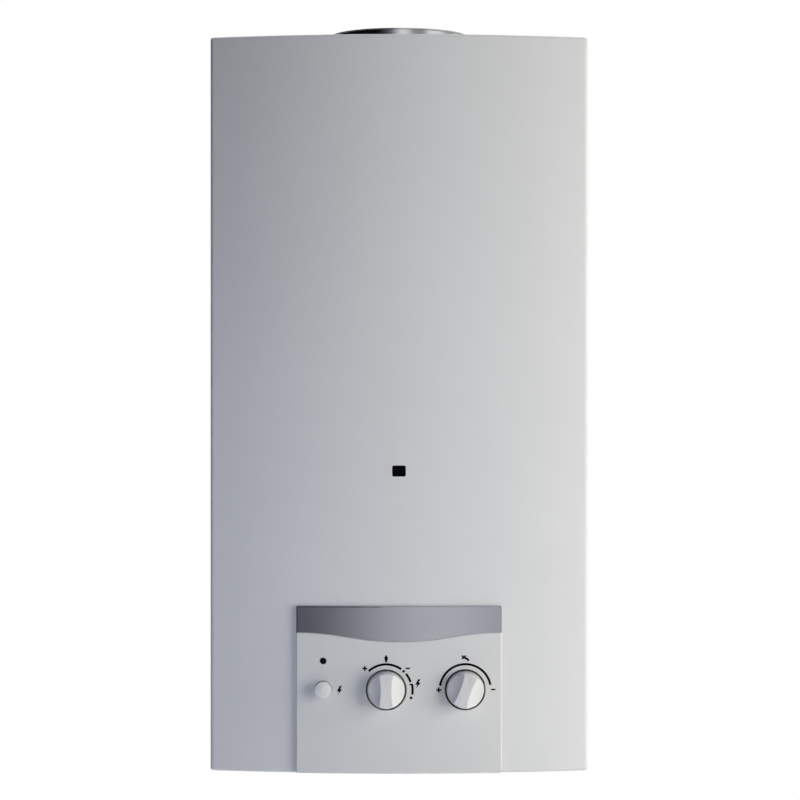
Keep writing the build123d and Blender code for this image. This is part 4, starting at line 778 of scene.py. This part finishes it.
def room():
    """A white backdrop for the camera, the room's tones for shiny surfaces, a dim cool surround."""
    world = bpy.data.worlds.new("Studio")
    world.use_nodes = True
    bpy.context.scene.world = world
    tree = world.node_tree
    tree.nodes.clear()
    way = add(tree, "ShaderNodeTexCoord").outputs["Generated"]
    around = add(tree, "ShaderNodeTexGradient", {"Vector": way}, gradient_type="RADIAL")
    ramp = add(tree, "ShaderNodeValToRGB", {"Fac": around.outputs["Fac"]})
    stops = ramp.color_ramp.elements
    stops.remove(stops[1])
    for k, (bearing, tone) in enumerate(room_tones):
        stop = stops.new(ramp_front + bearing / 360) if k else stops[0]
        stop.color = colour(tone)
    rays = add(tree, "ShaderNodeLightPath").outputs
    surround = add(tree, "ShaderNodeBackground",
                   {"Color": colour(ambient_tint), "Strength": ambient})
    mirror = add(tree, "ShaderNodeBackground", {"Color": ramp.outputs["Color"], "Strength": 1.0})
    backdrop = add(tree, "ShaderNodeBackground", {"Color": colour(white), "Strength": 1.0})
    shown = surround.outputs[0]
    for ray, tones in (("Is Glossy Ray", mirror), ("Is Transmission Ray", backdrop),
                       ("Is Camera Ray", backdrop)):
        choice = add(tree, "ShaderNodeMixShader", {0: rays[ray], 1: shown, 2: tones.outputs[0]})
        shown = choice.outputs[0]
    add(tree, "ShaderNodeOutputWorld", {"Surface": shown})


def studio_paper():
    # Matt white studio paper: it keeps the object's shadow, and for the camera it runs out into the
    # white backdrop. It is one-sided, so that the object's underside can be looked at.
    made, tree, shader, place = new_finish("Matt_white_studio_paper", Roughness=0.9)
    drift = add(tree, "ShaderNodeTexNoise", {"Vector": place, "Scale": per_mm(600)})
    tone = add(tree, "ShaderNodeMix", {mix_share: drift.outputs["Fac"],
                                       mix_first: colour("#ededee"), mix_last: colour("#f2f2f2")},
               data_type="RGBA")
    tree.links.new(tone.outputs[mix_result], shader.inputs["Base Color"])
    flat = add(tree, "ShaderNodeMapping",
               {"Vector": place, "Scale": (1 / floor_radius, 1 / floor_radius, 0.0)})
    inward = add(tree, "ShaderNodeTexGradient", {"Vector": flat.outputs["Vector"]},
                 gradient_type="SPHERICAL")
    fade = add(tree, "ShaderNodeMapRange",
               {"Value": inward.outputs["Fac"], "From Min": floor_keeps, "From Max": floor_gone},
               interpolation_type="SMOOTHSTEP")
    glow = add(tree, "ShaderNodeEmission", {"Color": colour(white), "Strength": 1.0})
    paper = add(tree, "ShaderNodeMixShader",
                {0: fade.outputs["Result"], 1: shader.outputs[0], 2: glow.outputs[0]})
    rays = add(tree, "ShaderNodeLightPath")
    seen = add(tree, "ShaderNodeMixShader",
               {0: rays.outputs["Is Camera Ray"], 1: shader.outputs[0], 2: paper.outputs[0]})
    side = add(tree, "ShaderNodeNewGeometry")
    nothing = add(tree, "ShaderNodeBsdfTransparent")
    under = add(tree, "ShaderNodeMixShader",
                {0: side.outputs["Backfacing"], 1: seen.outputs[0], 2: nothing.outputs[0]})
    tree.links.new(under.outputs[0], tree.nodes["Material Output"].inputs["Surface"])
    return made


def pale_floor():
    """A round floor of studio paper, far below the object."""
    form = bmesh.new()
    bmesh.ops.create_circle(form, cap_ends=True, segments=floor_corners, radius=floor_radius)
    bmesh.ops.translate(form, vec=(0, 0, floor_z), verts=form.verts)
    floor = mesh_object("pale_floor", form)
    floor.data.materials.append(studio_paper())


def camera():
    """The photograph's level viewpoint."""
    view = bpy.data.cameras.new("camera")
    view.lens = camera_lens
    view.sensor_width = camera_sensor
    view.shift_x, view.shift_y = camera_shift
    holder = bpy.data.objects.new("camera", view)
    holder.location = camera_place
    holder.rotation_euler = (pi / 2, 0.0, 0.0)
    bpy.context.collection.objects.link(holder)
    bpy.context.scene.camera = holder


for part in frame["record"]["subparts"]:
    dressed = frame["nodes"][part["node"]]
    dressed.material_slots[0].material = finishes[part["material_slot"]]
# The water valve's body and cover take the dark cast brass: painted shade where they show through
# the gap round the temperature knob.
valve_brass_painted_shade = cast_brass_painted_shade()
for node in ("water_valve_body", "water_valve_cover"):
    frame["nodes"][node].material_slots[0].material = valve_brass_painted_shade
printed_marks()
collar_rivets()
casing_screws()
threaded_connectors()
coil_spring("button_spring", turns=7, wire=0.8, along=1,
            anchored_low=False)
coil_spring("plunger_spring", turns=5, wire=1.2, along=0,
            anchored_low=True)
room()
pale_floor()
lights()
camera()
bpy.context.scene.view_settings.view_transform = "Standard"
